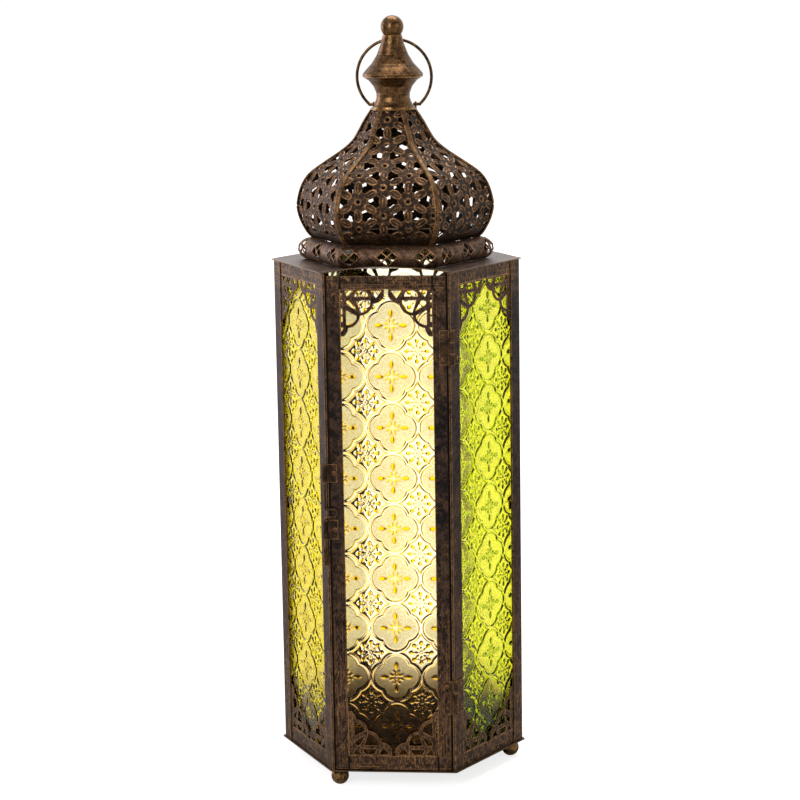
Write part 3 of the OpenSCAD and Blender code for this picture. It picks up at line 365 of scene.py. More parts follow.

# Pressed glass: clear lines and leaves, stippled fields, painted shade near the foot

pressed = {
    "shader": {"IOR": 1.48, "Transmission Weight": 1.0, "Specular Tint": (0.3, 0.28, 0.22, 1)},
    "cloud": {"scale": 22, "detail": 2}, "dots": {"scale": 850, "detail": 1, "rough": 0.3},
    "ripple": 1.5, "rippleHeight": 0.13, "deepAt": (0.35, 0.7), "dotAt": (0.4, 0.58),
    # painted shade near the foot: its wavy edge, how much the lines are spared, how much it thins the frost
    "paintedShadeWave": 0.03, "lineUnshaded": 0.6, "paintedShadeUnfrost": 0.8, "smooth": 0.03,
    "bump": {"Strength": 0.35, "Distance": 0.0002}, "plainHeight": 0.1,
}
# each look ends with the tint of its painted shade near the foot and the heights it fades over
glassLooks = {
    "clear": {"field": (1.0, 0.995, 0.86), "fieldDeep": (1.0, 0.97, 0.7), "dot": (0.8, 0.6, 0.22),
              "veil": (1.0, 0.955, 0.62), "line": (1.0, 0.44, 0.0), "frost": 0.6,
              "paintedShade": (0.42, 0.215, 0.055), "paintedShadeAt": (0.045, 0.14)},
    "rear": {"field": (1.0, 1.0, 0.93), "fieldDeep": (1.0, 0.98, 0.86), "dot": (0.98, 0.92, 0.7),
             "veil": (1.0, 0.98, 0.86), "line": (1.0, 0.8, 0.3), "frost": 0.3,
             "paintedShade": (0.2, 0.12, 0.05), "paintedShadeAt": (0.045, 0.085)},
    "green": {"field": (0.96, 1.0, 0.06), "fieldDeep": (0.89, 0.98, 0.03), "dot": (0.64, 0.74, 0.06),
              "veil": (0.93, 0.97, 0.22), "line": (0.26, 0.4, 0.001), "frost": 0.12,
              "paintedShade": (0.3, 0.36, 0.15), "paintedShadeAt": (0.04, 0.1)},
    "olive": {"field": (0.96, 0.88, 0.02), "fieldDeep": (0.9, 0.83, 0.01), "dot": (0.6, 0.48, 0.1),
              "veil": (0.88, 0.78, 0.26), "line": (0.6, 0.42, 0.004), "frost": 0.12,
              "paintedShade": (0.36, 0.32, 0.15), "paintedShadeAt": (0.04, 0.09)},
    "amber": {"field": (0.99, 0.97, 0.72), "fieldDeep": (0.98, 0.92, 0.58), "dot": (0.9, 0.8, 0.4),
              "veil": (0.98, 0.92, 0.58), "line": (0.95, 0.7, 0.2), "frost": 0.3,
              "paintedShade": (0.2, 0.12, 0.05), "paintedShadeAt": (0.045, 0.085)},
}


def glassMaterial(name, look):
    material, tree = newMaterial(name)
    shader = principled(tree, pressed["shader"])
    line, stipple, lobe = (attribute(tree, key) for key in ("line", "stipple", "lobe"))
    place = objectPlace(tree)
    cloud = noise(tree, place, **pressed["cloud"])
    ripples = mathNode(tree, "SINE", times(tree, lobe, 2 * math.pi / pressed["ripple"]))
    dots = noise(tree, place, **pressed["dots"])
    dots = plus(tree, dots, times(tree, ripples, pressed["rippleHeight"]))

    color = mixColor(tree, ramp(tree, cloud, pressed["deepAt"]), look["field"], look["fieldDeep"])
    dotted = mixColor(tree, ramp(tree, dots, pressed["dotAt"]), look["dot"], look["veil"])
    color = mixColor(tree, stipple, color, dotted)
    color = mixColor(tree, line, color, look["line"])
    # painted shade: the glass is darkened towards the foot, less on the lines, and its frost thins there
    level = plus(tree, axesOf(tree, place)[2], times(tree, cloud, pressed["paintedShadeWave"]))
    paintedShade = minus(tree, 1.0, ramp(tree, level, look["paintedShadeAt"]))
    paintedShade = times(tree, paintedShade, minus(tree, 1.0, times(tree, line, pressed["lineUnshaded"])))
    color = mixColor(tree, paintedShade, color, tinted(tree, color, look["paintedShade"]))
    tree.links.new(color, shader.inputs["Base Color"])

    frost = times(tree, times(tree, stipple, look["frost"]),
                  minus(tree, 1.0, times(tree, paintedShade, pressed["paintedShadeUnfrost"])))
    tree.links.new(plus(tree, pressed["smooth"], frost), shader.inputs["Roughness"])
    height = times(tree, dots, plus(tree, pressed["plainHeight"], stipple))
    bump = chained(tree, height, "ShaderNodeBump", "Height", **pressed["bump"])
    tree.links.new(bump, shader.inputs["Normal"])
    return material


glasses = {key: glassMaterial(key + "Glass", look) for key, look in glassLooks.items()}
print("materials made")

# Mesh helpers: lengths are in mm until a mesh is made

sharpAngles = {"sheet": 40, "pane": 60, "strip": 50}  # degrees from which an edge stays sharp


def smoothed(mesh, sharp):
    mesh.polygons.foreach_set("use_smooth", np.ones(len(mesh.polygons), dtype=bool))
    mesh.set_sharp_from_angle(angle=math.radians(sharp))


def meshObject(name, points, polygons, material, masks, sharp):
    mesh = bpy.data.meshes.new(name)
    mesh.from_pydata(points.tolist(), [], polygons)
    for key, values in masks.items():
        layer = mesh.attributes.new(key, "FLOAT", "POINT")
        layer.data.foreach_set("value", np.ascontiguousarray(values, dtype=np.float32))
    mesh.validate()
    smoothed(mesh, sharp)
    mesh.materials.append(material)
    return addObject(name, mesh)


def onFace(x, depth, z, turn):  # x to the right as seen from outside, depth outwards
    a = math.radians(turn)
    return np.stack([x * math.cos(a) + depth * math.sin(a), x * math.sin(a) - depth * math.cos(a), z], -1)


def gridCorners(index):  # the four corners of each cell, anticlockwise
    return (q.ravel() for q in (index[:-1, :-1], index[:-1, 1:], index[1:, 1:], index[1:, :-1]))


def gridTriangles(index):  # the cells' diagonals lie like a chessboard
    a, b, c, d = gridCorners(index)
    columns = index.shape[1] - 1
    cell = np.arange(len(a))
    flip = (cell % columns + cell // columns) % 2 == 0
    first = np.where(flip[:, None], np.stack([a, b, c], 1), np.stack([a, b, d], 1))
    second = np.where(flip[:, None], np.stack([a, c, d], 1), np.stack([b, c, d], 1))
    return np.concatenate([first, second])


def clipGrid(us, vs, field):  # triangles of a grid where the field is at most 0, cut along its contour
    nearContour = 0.02
    u, v = np.meshgrid(us, vs)
    value = field(u, v).ravel()
    value = np.where(np.abs(value) < nearContour, -nearContour, value)
    points = np.stack([u.ravel(), v.ravel()], 1)
    triangles = gridTriangles(np.arange(u.size).reshape(u.shape))
    inside = value <= 0
    count = inside[triangles].sum(1)
    kept, ends, cut = [triangles[count == 3]], [], []
    for cornersIn in (1, 2):  # p is the one corner that lies in, or the one that lies out
        t = triangles[count == cornersIn]
        odd = np.argmax(inside[t] == (cornersIn == 1), axis=1)
        row = np.arange(len(t))
        p, q, s = t[row, odd], t[row, (odd + 1) % 3], t[row, (odd + 2) % 3]
        cut.append((cornersIn, p, q, s))
        ends += [np.stack([p, q], 1), np.stack([p, s], 1)]
    pairs = np.sort(np.concatenate(ends), axis=1)
    unique, inverse = np.unique(pairs, axis=0, return_inverse=True)
    inverse = inverse.reshape(-1) + len(points)
    low, high = value[unique[:, 0]], value[unique[:, 1]]
    share = (low / (low - high))[:, None]
    points = np.concatenate([points, points[unique[:, 0]] * (1 - share) + points[unique[:, 1]] * share])
    at = 0
    for cornersIn, p, q, s in cut:
        pq, ps = inverse[at:at + len(p)], inverse[at + len(p):at + 2 * len(p)]
        at += 2 * len(p)
        if cornersIn == 1:
            kept.append(np.stack([p, pq, ps], 1))
        else:
            kept += [np.stack([pq, q, s], 1), np.stack([pq, s, ps], 1)]
    used, triangles = np.unique(np.concatenate(kept), return_inverse=True)
    return points[used], triangles.reshape(-1, 3)


def sheetPiece(name, us, vs, field, surface, lifts, material, raised=None):  # a sheet between two lifts
    flat, triangles = clipGrid(us, vs, field)
    count = len(flat)
    outer, inner = (surface(flat[:, 0], flat[:, 1], lift) for lift in lifts)
    edges = np.concatenate([triangles[:, [0, 1]], triangles[:, [1, 2]], triangles[:, [2, 0]]])
    key, reverse = edges[:, 0] * count + edges[:, 1], edges[:, 1] * count + edges[:, 0]
    i, j = edges[~np.isin(key, reverse)].T
    walls = np.concatenate([np.stack([i, i + count, j + count], 1), np.stack([i, j + count, j], 1)])
    everything = np.concatenate([triangles, triangles[:, ::-1] + count, walls])
    masks = {}
    if raised is not None:
        mask = raised(flat[:, 0], flat[:, 1])
        masks["raised"] = np.concatenate([mask, mask * 0])
    # the inner layer is marked inside, where the metal paints shade
    masks["inside"] = np.repeat([0.0, 1.0], count)
    print("  ", name, len(everything), "triangles")
    return meshObject(name, np.concatenate([outer, inner]) * mm, everything.tolist(), material, masks,
                      sharpAngles["sheet"])


def ridge(distance, width):
    return np.exp(-(distance / width) ** 2)


def smoothLine(points, steps):  # Catmull-Rom through the points
    points = np.array(points, float)
    last = len(points) - 1
    line = []
    for i in range(last):
        p0, p1, p2, p3 = points[max(i - 1, 0)], points[i], points[i + 1], points[min(i + 2, last)]
        for t in np.arange(steps) / steps:
            line.append(0.5 * (2 * p1 + (p2 - p0) * t + (2 * p0 - 5 * p1 + 4 * p2 - p3) * t ** 2
                               + (3 * p1 - p0 - 3 * p2 + p3) * t ** 3))
    return np.array(line + [points[-1]])


class Profile:  # a line of depth and height, followed by its length
    chord = 0.8  # reach to each side for the normal

    def __init__(self, line):
        self.line = line
        self.length = np.concatenate([[0], np.cumsum(np.linalg.norm(np.diff(line, axis=0), axis=1))])
        self.total = self.length[-1]

    def at(self, s):
        return np.interp(s, self.length, self.line[:, 0]), np.interp(s, self.length, self.line[:, 1])

    def normal(self, s):
        d0, z0 = self.at(np.clip(s - self.chord, 0, self.total))
        d1, z1 = self.at(np.clip(s + self.chord, 0, self.total))
        size = np.hypot(d1 - d0, z1 - z0) + 1e-9
        return (z1 - z0) / size, -(d1 - d0) / size

    def lifted(self, x, s, lift, turn):
        depth, z = self.at(s)
        nd, nz = self.normal(s)
        return onFace(x, depth + nd * lift, z + nz * lift, turn)


# Dome: six pierced and embossed gores

domeLook = {
    "radius": 77.6, "height": 101.0, "foot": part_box("gore_front")[0][2] / mm,
    "wall": 0.8, "inset": 0.1, "step": 0.6, "smooth": 16, "seam": 0.1, "margin": 1,
    "shares": [(0.845, 0), (0.905, 0.048), (0.968, 0.139), (1, 0.23), (0.995, 0.3), (0.951, 0.413),
               (0.867, 0.505), (0.702, 0.596), (0.523, 0.687), (0.421, 0.755), (0.357, 0.83),
               (0.295, 0.916), (0.222, 1)],  # of the radius and of the height
    "pitch": 22.2, "eyelet": 1.5, "petal": (2.75, 4.9), "spine": 2.6, "web": 0.5, "tipClear": 8.1,
    "sideBorder": 2.0, "footBorder": 8.0, "crownBorder": 2.0,
    "emboss": 0.5, "embossWidth": 0.45, "spineShare": 0.8, "petalLine": 0.1, "eyeletLine": 2.4,
    "plainFoot": 5, "embossFade": 9,
    "wave": 0.25, "waves": (0.13, 0.09), "waveShift": 0.7, "waveFade": 6,
    "shiftShares": {"front": (-0.13, 0.7), "front_right": (0.18, 0.53), "back_right": (-0.33, 0.22),
                    "back": (0.09, 0.75), "back_left": (0.35, 0.4), "front_left": (-0.22, 0.88)},
}
domePoints = [(r * domeLook["radius"] * cos30, domeLook["foot"] + h * domeLook["height"])
              for r, h in domeLook["shares"]]
domeProfile = Profile(smoothLine(domePoints, domeLook["smooth"]))


def nearestNode(x, s, start):  # offsets to the nearest node of a triangular lattice, and the distance
    pitch = domeLook["pitch"]
    column = (x - start[0]) / (pitch * cos30)
    best = None
    for i in (np.floor(column), np.floor(column) + 1):
        row = (s - start[1]) / pitch - i / 2
        dx, ds = (column - i) * pitch * cos30, (row - np.round(row)) * pitch
        found = [dx, ds, np.hypot(dx, ds)]
        if best is None:
            best = found
        else:
            closer = found[2] < best[2]
            best = [np.where(closer, new, old) for new, old in zip(found, best)]
    return best


def latticePattern(x, s, start):  # distances from eyelets, from petals' outlines and from their spines
    across, along = domeLook["petal"]
    half = domeLook["pitch"] / 2
    nodeAway = nearestNode(x, s, start)[2]
    petalAway, spine = np.full(x.shape, outOfReach), np.full(x.shape, outOfReach)
    for dirX, dirS in ((0, 1), (cos30, sin30), (cos30, -sin30)):
        dx, ds, _ = nearestNode(x - dirX * half, s - dirS * half, start)
        u, v = dx * dirS - ds * dirX, dx * dirX + ds * dirS
        q = np.sqrt((u / across) ** 2 + (v / along) ** 2) + 1e-9
        slope = np.sqrt((u / across ** 2) ** 2 + (v / along ** 2) ** 2) / q + 1e-9
        petalAway = np.minimum(petalAway, (q - 1) / slope)
        spine = np.minimum(spine, np.hypot(u, np.maximum(np.abs(v) - domeLook["spine"], 0)))
    return nodeAway, petalAway, spine


def makeGore(face, turn):
    shift = domeLook["shiftShares"][face]
    start = (shift[0] * domeLook["pitch"], (shift[1] - 0.5) * domeLook["pitch"])

    def cutField(x, s):
        depth, _ = domeProfile.at(s)
        half = depth * tan30 - domeLook["seam"]
        nodeAway, petalAway, _ = latticePattern(x, s, start)
        hole = np.minimum(nodeAway - domeLook["tipClear"], petalAway - domeLook["web"])
        hole = np.maximum(hole, domeLook["eyelet"] - nodeAway)
        hole = np.minimum.reduce([hole, half - np.abs(x) - domeLook["sideBorder"],
                                  s - domeLook["footBorder"],
                                  domeProfile.total - s - domeLook["crownBorder"]])
        return np.maximum(hole, np.abs(x) - half)

    def relief(x, s):
        nodeAway, petalAway, spine = latticePattern(x, s, start)
        width = domeLook["embossWidth"]
        lines = np.maximum.reduce([ridge(petalAway + domeLook["petalLine"], width),
                                   domeLook["spineShare"] * ridge(spine, width),
                                   ridge(nodeAway - domeLook["eyeletLine"], width)])
        return lines * np.clip((s - domeLook["plainFoot"]) / domeLook["embossFade"], 0, 1)

    def surface(x, s, lift):
        depth, _ = domeProfile.at(s)
        wave = domeLook["wave"] * np.sin(x * domeLook["waves"][0] + turn)
        wave = wave * np.sin(s * domeLook["waves"][1] + turn * domeLook["waveShift"])
        wave = wave * np.clip((depth * tan30 - np.abs(x)) / domeLook["waveFade"], 0, 1)
        return domeProfile.lifted(x, s, domeLook["emboss"] * relief(x, s) + wave + lift, turn)

    half = domeLook["radius"] * cos30 * tan30 + domeLook["margin"]
    rows = int(domeProfile.total / domeLook["step"])
    lifts = (-domeLook["inset"], -domeLook["inset"] - domeLook["wall"])
    gore = sheetPiece(pieceName("gore", face), np.arange(-half, half, domeLook["step"]),
                      np.linspace(0, domeProfile.total, rows), cutField, surface, lifts,
                      metals["dome"], relief)
    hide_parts("gore_" + face)
    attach(gore, "lantern")


for face, turn in faceTurns.items():
    makeGore(face, turn)
print("dome gores made")

# Half-round moulding round the dome's foot

tubeLook = {
    "radius": 9.0, "rise": 8 / 9, "reach": 0.2,  # of the tube's middle, as shares of its radius
    "wall": 0.8, "inset": 0.15, "step": 0.5, "rows": 52, "seam": 0.06, "margin": 1,
    "arc": (-62, 106), "arcPoints": 90, "pitch": 29.5, "tilt": 7.0, "window": 2.5, "apart": 4.31,
    "border": 0.8, "emboss": 0.5, "rimAt": 0.45, "rimWidth": 0.5, "rubbedWidth": 0.6,
    "wave": 0.15, "waves": 0.2,
    "shiftShares": {"front": -0.02, "front_right": 0.08, "back_right": -0.1, "back": 0.05,
                    "back_left": 0.11, "front_left": -0.07},
}
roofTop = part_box("roof_plate")[1][2] / mm
domeFoot = domeLook["shares"][0][0] * domeLook["radius"] * cos30
tubeDepth = domeFoot + tubeLook["reach"] * tubeLook["radius"]
tubeLevel = roofTop + tubeLook["rise"] * tubeLook["radius"]
arc = np.radians(np.linspace(*tubeLook["arc"], tubeLook["arcPoints"]))
tubeProfile = Profile(np.stack([tubeDepth + tubeLook["radius"] * np.cos(arc),
                                tubeLevel + tubeLook["radius"] * np.sin(arc)], 1))


def makeMoulding(face, turn):
    pitch, apart = tubeLook["pitch"], tubeLook["apart"]
    begin = tubeLook["shiftShares"][face] * pitch
    middle = math.radians(tubeLook["tilt"] - tubeLook["arc"][0]) * tubeLook["radius"]

    def diamondAway(x, s):
        dx = (x - begin + pitch / 2) % pitch - pitch / 2
        ds = s - middle
        best = np.full(x.shape, outOfReach)
        for cx, cs in ((0, 1), (0, -1), (1, 0), (-1, 0)):
            away = (np.abs(dx - cx * apart) + np.abs(ds - cs * apart)) / math.sqrt(2)
            best = np.minimum(best, away - tubeLook["window"])
        return best

    def rim(x, s, width):
        return ridge(diamondAway(x, s) - tubeLook["rimAt"], width)

    def cutField(x, s):
        depth, _ = tubeProfile.at(s)
        half = depth * tan30 - tubeLook["seam"]
        hole = np.minimum(-diamondAway(x, s), half - np.abs(x) - tubeLook["border"])
        return np.maximum(hole, np.abs(x) - half)

    def surface(x, s, lift):
        wave = tubeLook["wave"] * np.sin(x * tubeLook["waves"] + turn)
        height = tubeLook["emboss"] * rim(x, s, tubeLook["rimWidth"]) + wave + lift
        return tubeProfile.lifted(x, s, height, turn)

    half = (tubeDepth + tubeLook["radius"]) * tan30 + tubeLook["margin"]
    lifts = (-tubeLook["inset"], -tubeLook["inset"] - tubeLook["wall"])
    tube = sheetPiece(pieceName("moulding", face), np.arange(-half, half, tubeLook["step"]),
                      np.linspace(0, tubeProfile.total, tubeLook["rows"]), cutField, surface, lifts,
                      metals["roll"], lambda x, s: rim(x, s, tubeLook["rubbedWidth"]))
    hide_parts("dome_moulding")
    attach(tube, "lantern")


for face, turn in faceTurns.items():
    makeMoulding(face, turn)
print("moulding made")

# Roof plate, its front edge bowed up a little

roofLook = {"side": 100.0, "wall": 1.0, "inset": 0.15, "vent": 48.0, "step": 1.3, "margin": 1,
            "bow": 4.6, "bowFrom": 55.0, "bowPower": 1.3, "bowHalf": 50,
            "wave": 0.15, "waves": (0.11, 0.09)}


def roofField(x, y):
    hexagon = np.maximum.reduce([np.abs(y), np.abs(x * cos30 + y * sin30), np.abs(x * cos30 - y * sin30)])
    return np.maximum(hexagon - roofLook["side"] * cos30, roofLook["vent"] - np.hypot(x, y))


def roofSurface(x, y, z):
    near = np.clip((-y - roofLook["bowFrom"]) / (roofLook["side"] * cos30 - roofLook["bowFrom"]), 0, 1)
    bow = roofLook["bow"] * near ** roofLook["bowPower"] * np.clip(1 - (x / roofLook["bowHalf"]) ** 2, 0, 1)
    wave = roofLook["wave"] * np.sin(x * roofLook["waves"][0]) * np.sin(y * roofLook["waves"][1])
    return np.stack([x, y, z + bow + wave], -1)


roofEdge = roofLook["side"] + roofLook["margin"]
roofGrid = np.arange(-roofEdge, roofEdge + roofLook["step"] / 2, roofLook["step"])
roofLifts = (roofTop - roofLook["inset"], roofTop + roofLook["inset"] - roofLook["wall"])
roof = sheetPiece("roofSheet", roofGrid, roofGrid, roofField, roofSurface, roofLifts, metals["roof"])
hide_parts("roof_plate")
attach(roof, "lantern")
print("roof plate made")

# Pressed glass: quatrefoils and small flowers in relief

paneLook = {
    "relief": 1.1, "wall": 3.0, "inset": 0.1, "border": 1.5,
    "wave": 0.1, "waves": (0.17, 0.11), "waveBorder": 3, "steps": {"front": 0.62, "rear": 0.85},
    "shiftShares": {"front_right": (0.175, 0.13), "back_right": (-0.075, -0.28), "back": (0.025, -0.055),
                    "back_left": (0.1, -0.48), "front_left": (-0.15, -0.18), "door": (0.075, -0.048)},
    "kinds": {"front_right": "green", "back_right": "amber", "back": "rear", "back_left": "amber",
              "front_left": "olive"},
    "slots": {"green": "green_glass", "olive": "green_glass", "amber": "amber_glass",
              "rear": "clear_glass"},
    "reliefShares": {"olive": 0.8},
}
figureLook = {
    "pitch": 40.0, "lobeOut": 8.0, "rim": 11.45, "rimHalf": 1.7, "fieldGap": 0.4, "fieldSoft": 0.5,
    "rimLine": 0.3, "rimLineHalf": 0.85, "rimLineSoft": 0.45,
    "leaf": {"start": 4.0, "end": 12.8, "width": 2.0}, "leafSoft": 1.5,
    "leafLine": 0.3, "leafLineSoft": 0.6, "leafLineFrom": 3.0, "leafLineFade": 3,
    "curlAt": 4.4, "curlRadius": 1.9, "curlWidth": 0.75, "curlOpen": 2.2, "curlOff": 9,
    "curlLine": 1.15, "curlLineSoft": 0.5, "eye": 1.2, "eyeWidth": 0.6,
    "petals": 8, "petal": {"start": 4.9, "end": 9.8, "width": 1.6},
    "stem": {"start": 1.6, "end": 5.6, "width": 0.75}, "petalLine": 0.4, "petalLineSoft": 0.6,
    "core": 1.1, "coreWidth": 0.5, "bead": (6.2, 2.0), "beadWidth": 0.6,
    "heights": {"rim": 1.0, "leaf": 0.85, "curl": 0.7, "eye": 0.6, "petal": 0.8, "core": 0.6, "bead": 0.5},
    "lines": {"rim": 1.0, "leaf": 1.0, "curl": 1.0, "eye": 0.8, "petal": 1.0, "core": 0.9, "bead": 0.7},
    "dropTurn": 1.6, "dropRound": 0.8, "dropEnds": (0.02, 0.98),
}


def soft(value):  # 0 below 0, 1 above 1, smooth between
    t = np.clip(value, 0, 1)
    return t * t * (3 - 2 * t)


def halfRound(value):  # 0 below 0, 1 above 1, with a round shoulder
    return np.sqrt(1 - (1 - np.clip(value, 0, 1)) ** 2)


def inDrop(along, across, start, end, width):  # how deep inside a teardrop, fat at its far end, a point lies
    t = np.clip((along - start) / (end - start), 0, 1)
    t = np.clip(t, *figureLook["dropEnds"]) ** figureLook["dropTurn"]
    half = width * np.sin(np.pi * t) ** figureLook["dropRound"]
    return np.where((along > start) & (along < end), half - np.abs(across), -1)


def strongest(shares, figures):
    return np.maximum.reduce([shares[key] * figure for key, figure in figures.items()])


def quatrefoil(x, z):  # heights, lines, and the clear shapes on its stippled field
    look, pitch = figureLook, figureLook["pitch"]
    dx, dz = (x + pitch / 2) % pitch - pitch / 2, (z + pitch / 2) % pitch - pitch / 2
    ax, az = np.abs(dx), np.abs(dz)
    lobes = np.minimum(np.hypot(ax - look["lobeOut"], az), np.hypot(ax, az - look["lobeOut"]))
    away = np.abs(lobes - look["rim"])
    leafDepth = np.maximum(inDrop(ax, dz, **look["leaf"]), inDrop(az, dx, **look["leaf"]))
    curlX, curlZ = (ax + az) / math.sqrt(2) - look["curlAt"], (ax - az) / math.sqrt(2)
    opening = np.arctan2(np.abs(curlZ), -curlX) > look["curlOpen"]
    curlAway = np.abs(np.hypot(curlX, curlZ) - look["curlRadius"]) + look["curlOff"] * opening
    eye = ridge(np.hypot(dx, dz) - look["eye"], look["eyeWidth"])
    heights = {"rim": soft(1 - away / look["rimHalf"]), "leaf": soft(leafDepth / look["leafSoft"]),
               "curl": ridge(curlAway, look["curlWidth"]), "eye": eye}
    rimLine = look["rimLineHalf"] - np.abs(away - look["rimHalf"] + look["rimLine"])
    leafLine = soft((leafDepth + look["leafLine"]) / look["leafLineSoft"])
    lines = {"rim": soft(rimLine / look["rimLineSoft"]), "eye": eye,
             "leaf": leafLine * soft((np.maximum(ax, az) - look["leafLineFrom"]) / look["leafLineFade"]),
             "curl": soft((look["curlLine"] - curlAway) / look["curlLineSoft"])}
    field = soft((look["rim"] - look["rimHalf"] - look["fieldGap"] - lobes) / look["fieldSoft"])
    stipple = field * (1 - np.maximum.reduce([heights["leaf"], heights["curl"], eye]))
    return heights, lines, stipple, lobes


def smallFlower(x, z):  # heights and lines of the flower between the quatrefoils
    look, pitch = figureLook, figureLook["pitch"]
    dx, dz = x % pitch - pitch / 2, z % pitch - pitch / 2
    angle, far = np.arctan2(dz, dx), np.hypot(dx, dz)
    part = 2 * np.pi / look["petals"]
    local = (angle + part / 2) % part - part / 2
    along, across = far * np.cos(local), far * np.sin(local)
    petalDepth = np.maximum(inDrop(along, across, **look["petal"]), inDrop(along, across, **look["stem"]))
    core = ridge(far - look["core"], look["coreWidth"])
    bead = ridge(np.hypot(along - look["bead"][0], np.abs(across) - look["bead"][1]), look["beadWidth"])
    petalLine = soft((petalDepth + look["petalLine"]) / look["petalLineSoft"])
    return ({"petal": halfRound(petalDepth), "core": core, "bead": bead},
            {"petal": petalLine, "core": core, "bead": bead})


def panePattern(x, z):  # height from 0 to 1, golden lines, stippled fields, distance from a lobe's middle
    heights, lines, stipple, lobes = quatrefoil(x, z)
    flowerHeights, flowerLines = smallFlower(x, z)
    height = strongest(figureLook["heights"], {**heights, **flowerHeights})
    line = strongest(figureLook["lines"], {**lines, **flowerLines})
    return height, {"line": line, "stipple": stipple, "lobe": lobes}


def reliefPane(name, turn, depth, half, low, high, shift, material, step, share):
    us = np.linspace(-half, half, int(2 * half / step))
    vs = np.linspace(low, high, int((high - low) / step))
    u, v = np.meshgrid(us, vs)
    pitch = figureLook["pitch"]
    height, masks = panePattern(u - shift[0] * pitch, v - (low + high) / 2 - shift[1] * pitch)
    border = np.minimum.reduce([u + half, half - u, v - low, high - v])
    height = height * np.clip(border / paneLook["border"], 0, 1)
    wave = paneLook["wave"] * np.sin(u * paneLook["waves"][0] + turn) * np.sin(v * paneLook["waves"][1])
    wave = wave * np.clip(border / paneLook["waveBorder"], 0, 1)
    out = depth - paneLook["inset"] - share * paneLook["relief"] * (1 - height) + wave
    front = onFace(u.ravel(), out.ravel(), v.ravel(), turn)
    corners = onFace(np.array([-half, half, half, -half]), np.full(4, depth - paneLook["wall"]),
                     np.array([low, low, high, high]), turn)
    index = np.arange(u.size).reshape(u.shape)
    polygons = np.stack(list(gridCorners(index)), 1).tolist()
    cells = len(polygons)
    a, b, c, d = range(u.size, u.size + 4)  # the flat back's corners
    polygons += [[d, c, b, a], [a, b] + index[0, ::-1].tolist(), [c, d] + index[-1, :].tolist(),
                 [d, a] + index[:, 0].tolist(), [b, c] + index[::-1, -1].tolist()]
    masks = {key: np.append(mask.ravel(), np.zeros(4)) for key, mask in masks.items()}
    print("  ", name, 2 * cells, "triangles")
    return meshObject(name, np.concatenate([front, corners]) * mm, polygons, material, masks,
                      sharpAngles["pane"])


sideBox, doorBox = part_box("glass_back"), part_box("door_glass")
for face, kind in paneLook["kinds"].items():
    pane = reliefPane(pieceName("pane", face), faceTurns[face], sideBox[1][1] / mm, sideBox[1][0] / mm,
                      sideBox[0][2] / mm, sideBox[1][2] / mm, paneLook["shiftShares"][face], glasses[kind],
                      paneLook["steps"]["front" if face.startswith("front") else "rear"],
                      paneLook["reliefShares"].get(kind, 1.0))
    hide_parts("glass_" + face)
    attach(pane, "lantern")
pane = reliefPane("paneDoor", 0, -doorBox[0][1] / mm, doorBox[1][0] / mm,
                  doorBox[0][2] / mm, doorBox[1][2] / mm, paneLook["shiftShares"]["door"],
                  glasses["clear"], paneLook["steps"]["front"], 1.0)
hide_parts("door_glass")
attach(pane, "door")
print("panes made")

# Strips over the dome's seams, swept and set round by geometry nodes

ribLook = {"Rib Count": 6, "Rib Width": 0.0042, "Rib Rise": 0.0018}  # the tree's inputs, in metres
ribLine = {"proud": 0.1, "every": 4, "sides": 12}  # mm proud of the seam, every nth point, the section's sides


def buildRibTree(material):
    tree = bpy.data.node_groups.new("domeRibs", "GeometryNodeTree")
    tree.interface.new_socket(name="Geometry", in_out="INPUT", socket_type="NodeSocketGeometry")
    tree.interface.new_socket(name="Geometry", in_out="OUTPUT", socket_type="NodeSocketGeometry")
    sockets = {}
    for name, value in ribLook.items():
        kind = "NodeSocketInt" if isinstance(value, int) else "NodeSocketFloat"
        socket = tree.interface.new_socket(name=name, in_out="INPUT", socket_type=kind)
        socket.default_value = value
        sockets[name] = socket.identifier
    start = tree.nodes.new("NodeGroupInput").outputs
    end = tree.nodes.new("NodeGroupOutput").inputs
    link = tree.links.new

    line = chained(tree, start["Geometry"], "GeometryNodeMeshToCurve")
    upright = chained(tree, line, "GeometryNodeSetCurveNormal", mode="Z_UP")
    ring = addNode(tree, "GeometryNodeCurvePrimitiveCircle", Resolution=ribLine["sides"], Radius=0.5)
    squeeze = tree.nodes.new("GeometryNodeTransform")
    link(ring.outputs[0], squeeze.inputs["Geometry"])
    size = addNode(tree, "ShaderNodeCombineXYZ", Z=1)
    link(start["Rib Width"], size.inputs["X"])
    link(start["Rib Rise"], size.inputs["Y"])
    link(size.outputs[0], squeeze.inputs["Scale"])
    sweep = addNode(tree, "GeometryNodeCurveToMesh", **{"Fill Caps": True})
    link(upright, sweep.inputs[0])
    link(squeeze.outputs[0], sweep.inputs[1])

    places = chained(tree, start["Rib Count"], "GeometryNodePoints", "Count")
    apart = mathNode(tree, "DIVIDE", 2 * math.pi, start["Rib Count"])
    turn = tree.nodes.new("ShaderNodeCombineXYZ")
    link(times(tree, tree.nodes.new("GeometryNodeInputIndex").outputs[0], apart), turn.inputs["Z"])
    spread = tree.nodes.new("GeometryNodeInstanceOnPoints")
    link(places, spread.inputs["Points"])
    link(sweep.outputs[0], spread.inputs["Instance"])
    link(turn.outputs[0], spread.inputs["Rotation"])
    real = chained(tree, spread.outputs[0], "GeometryNodeRealizeInstances")
    link(chained(tree, real, "GeometryNodeSetMaterial", Material=material), end[0])
    return tree, sockets


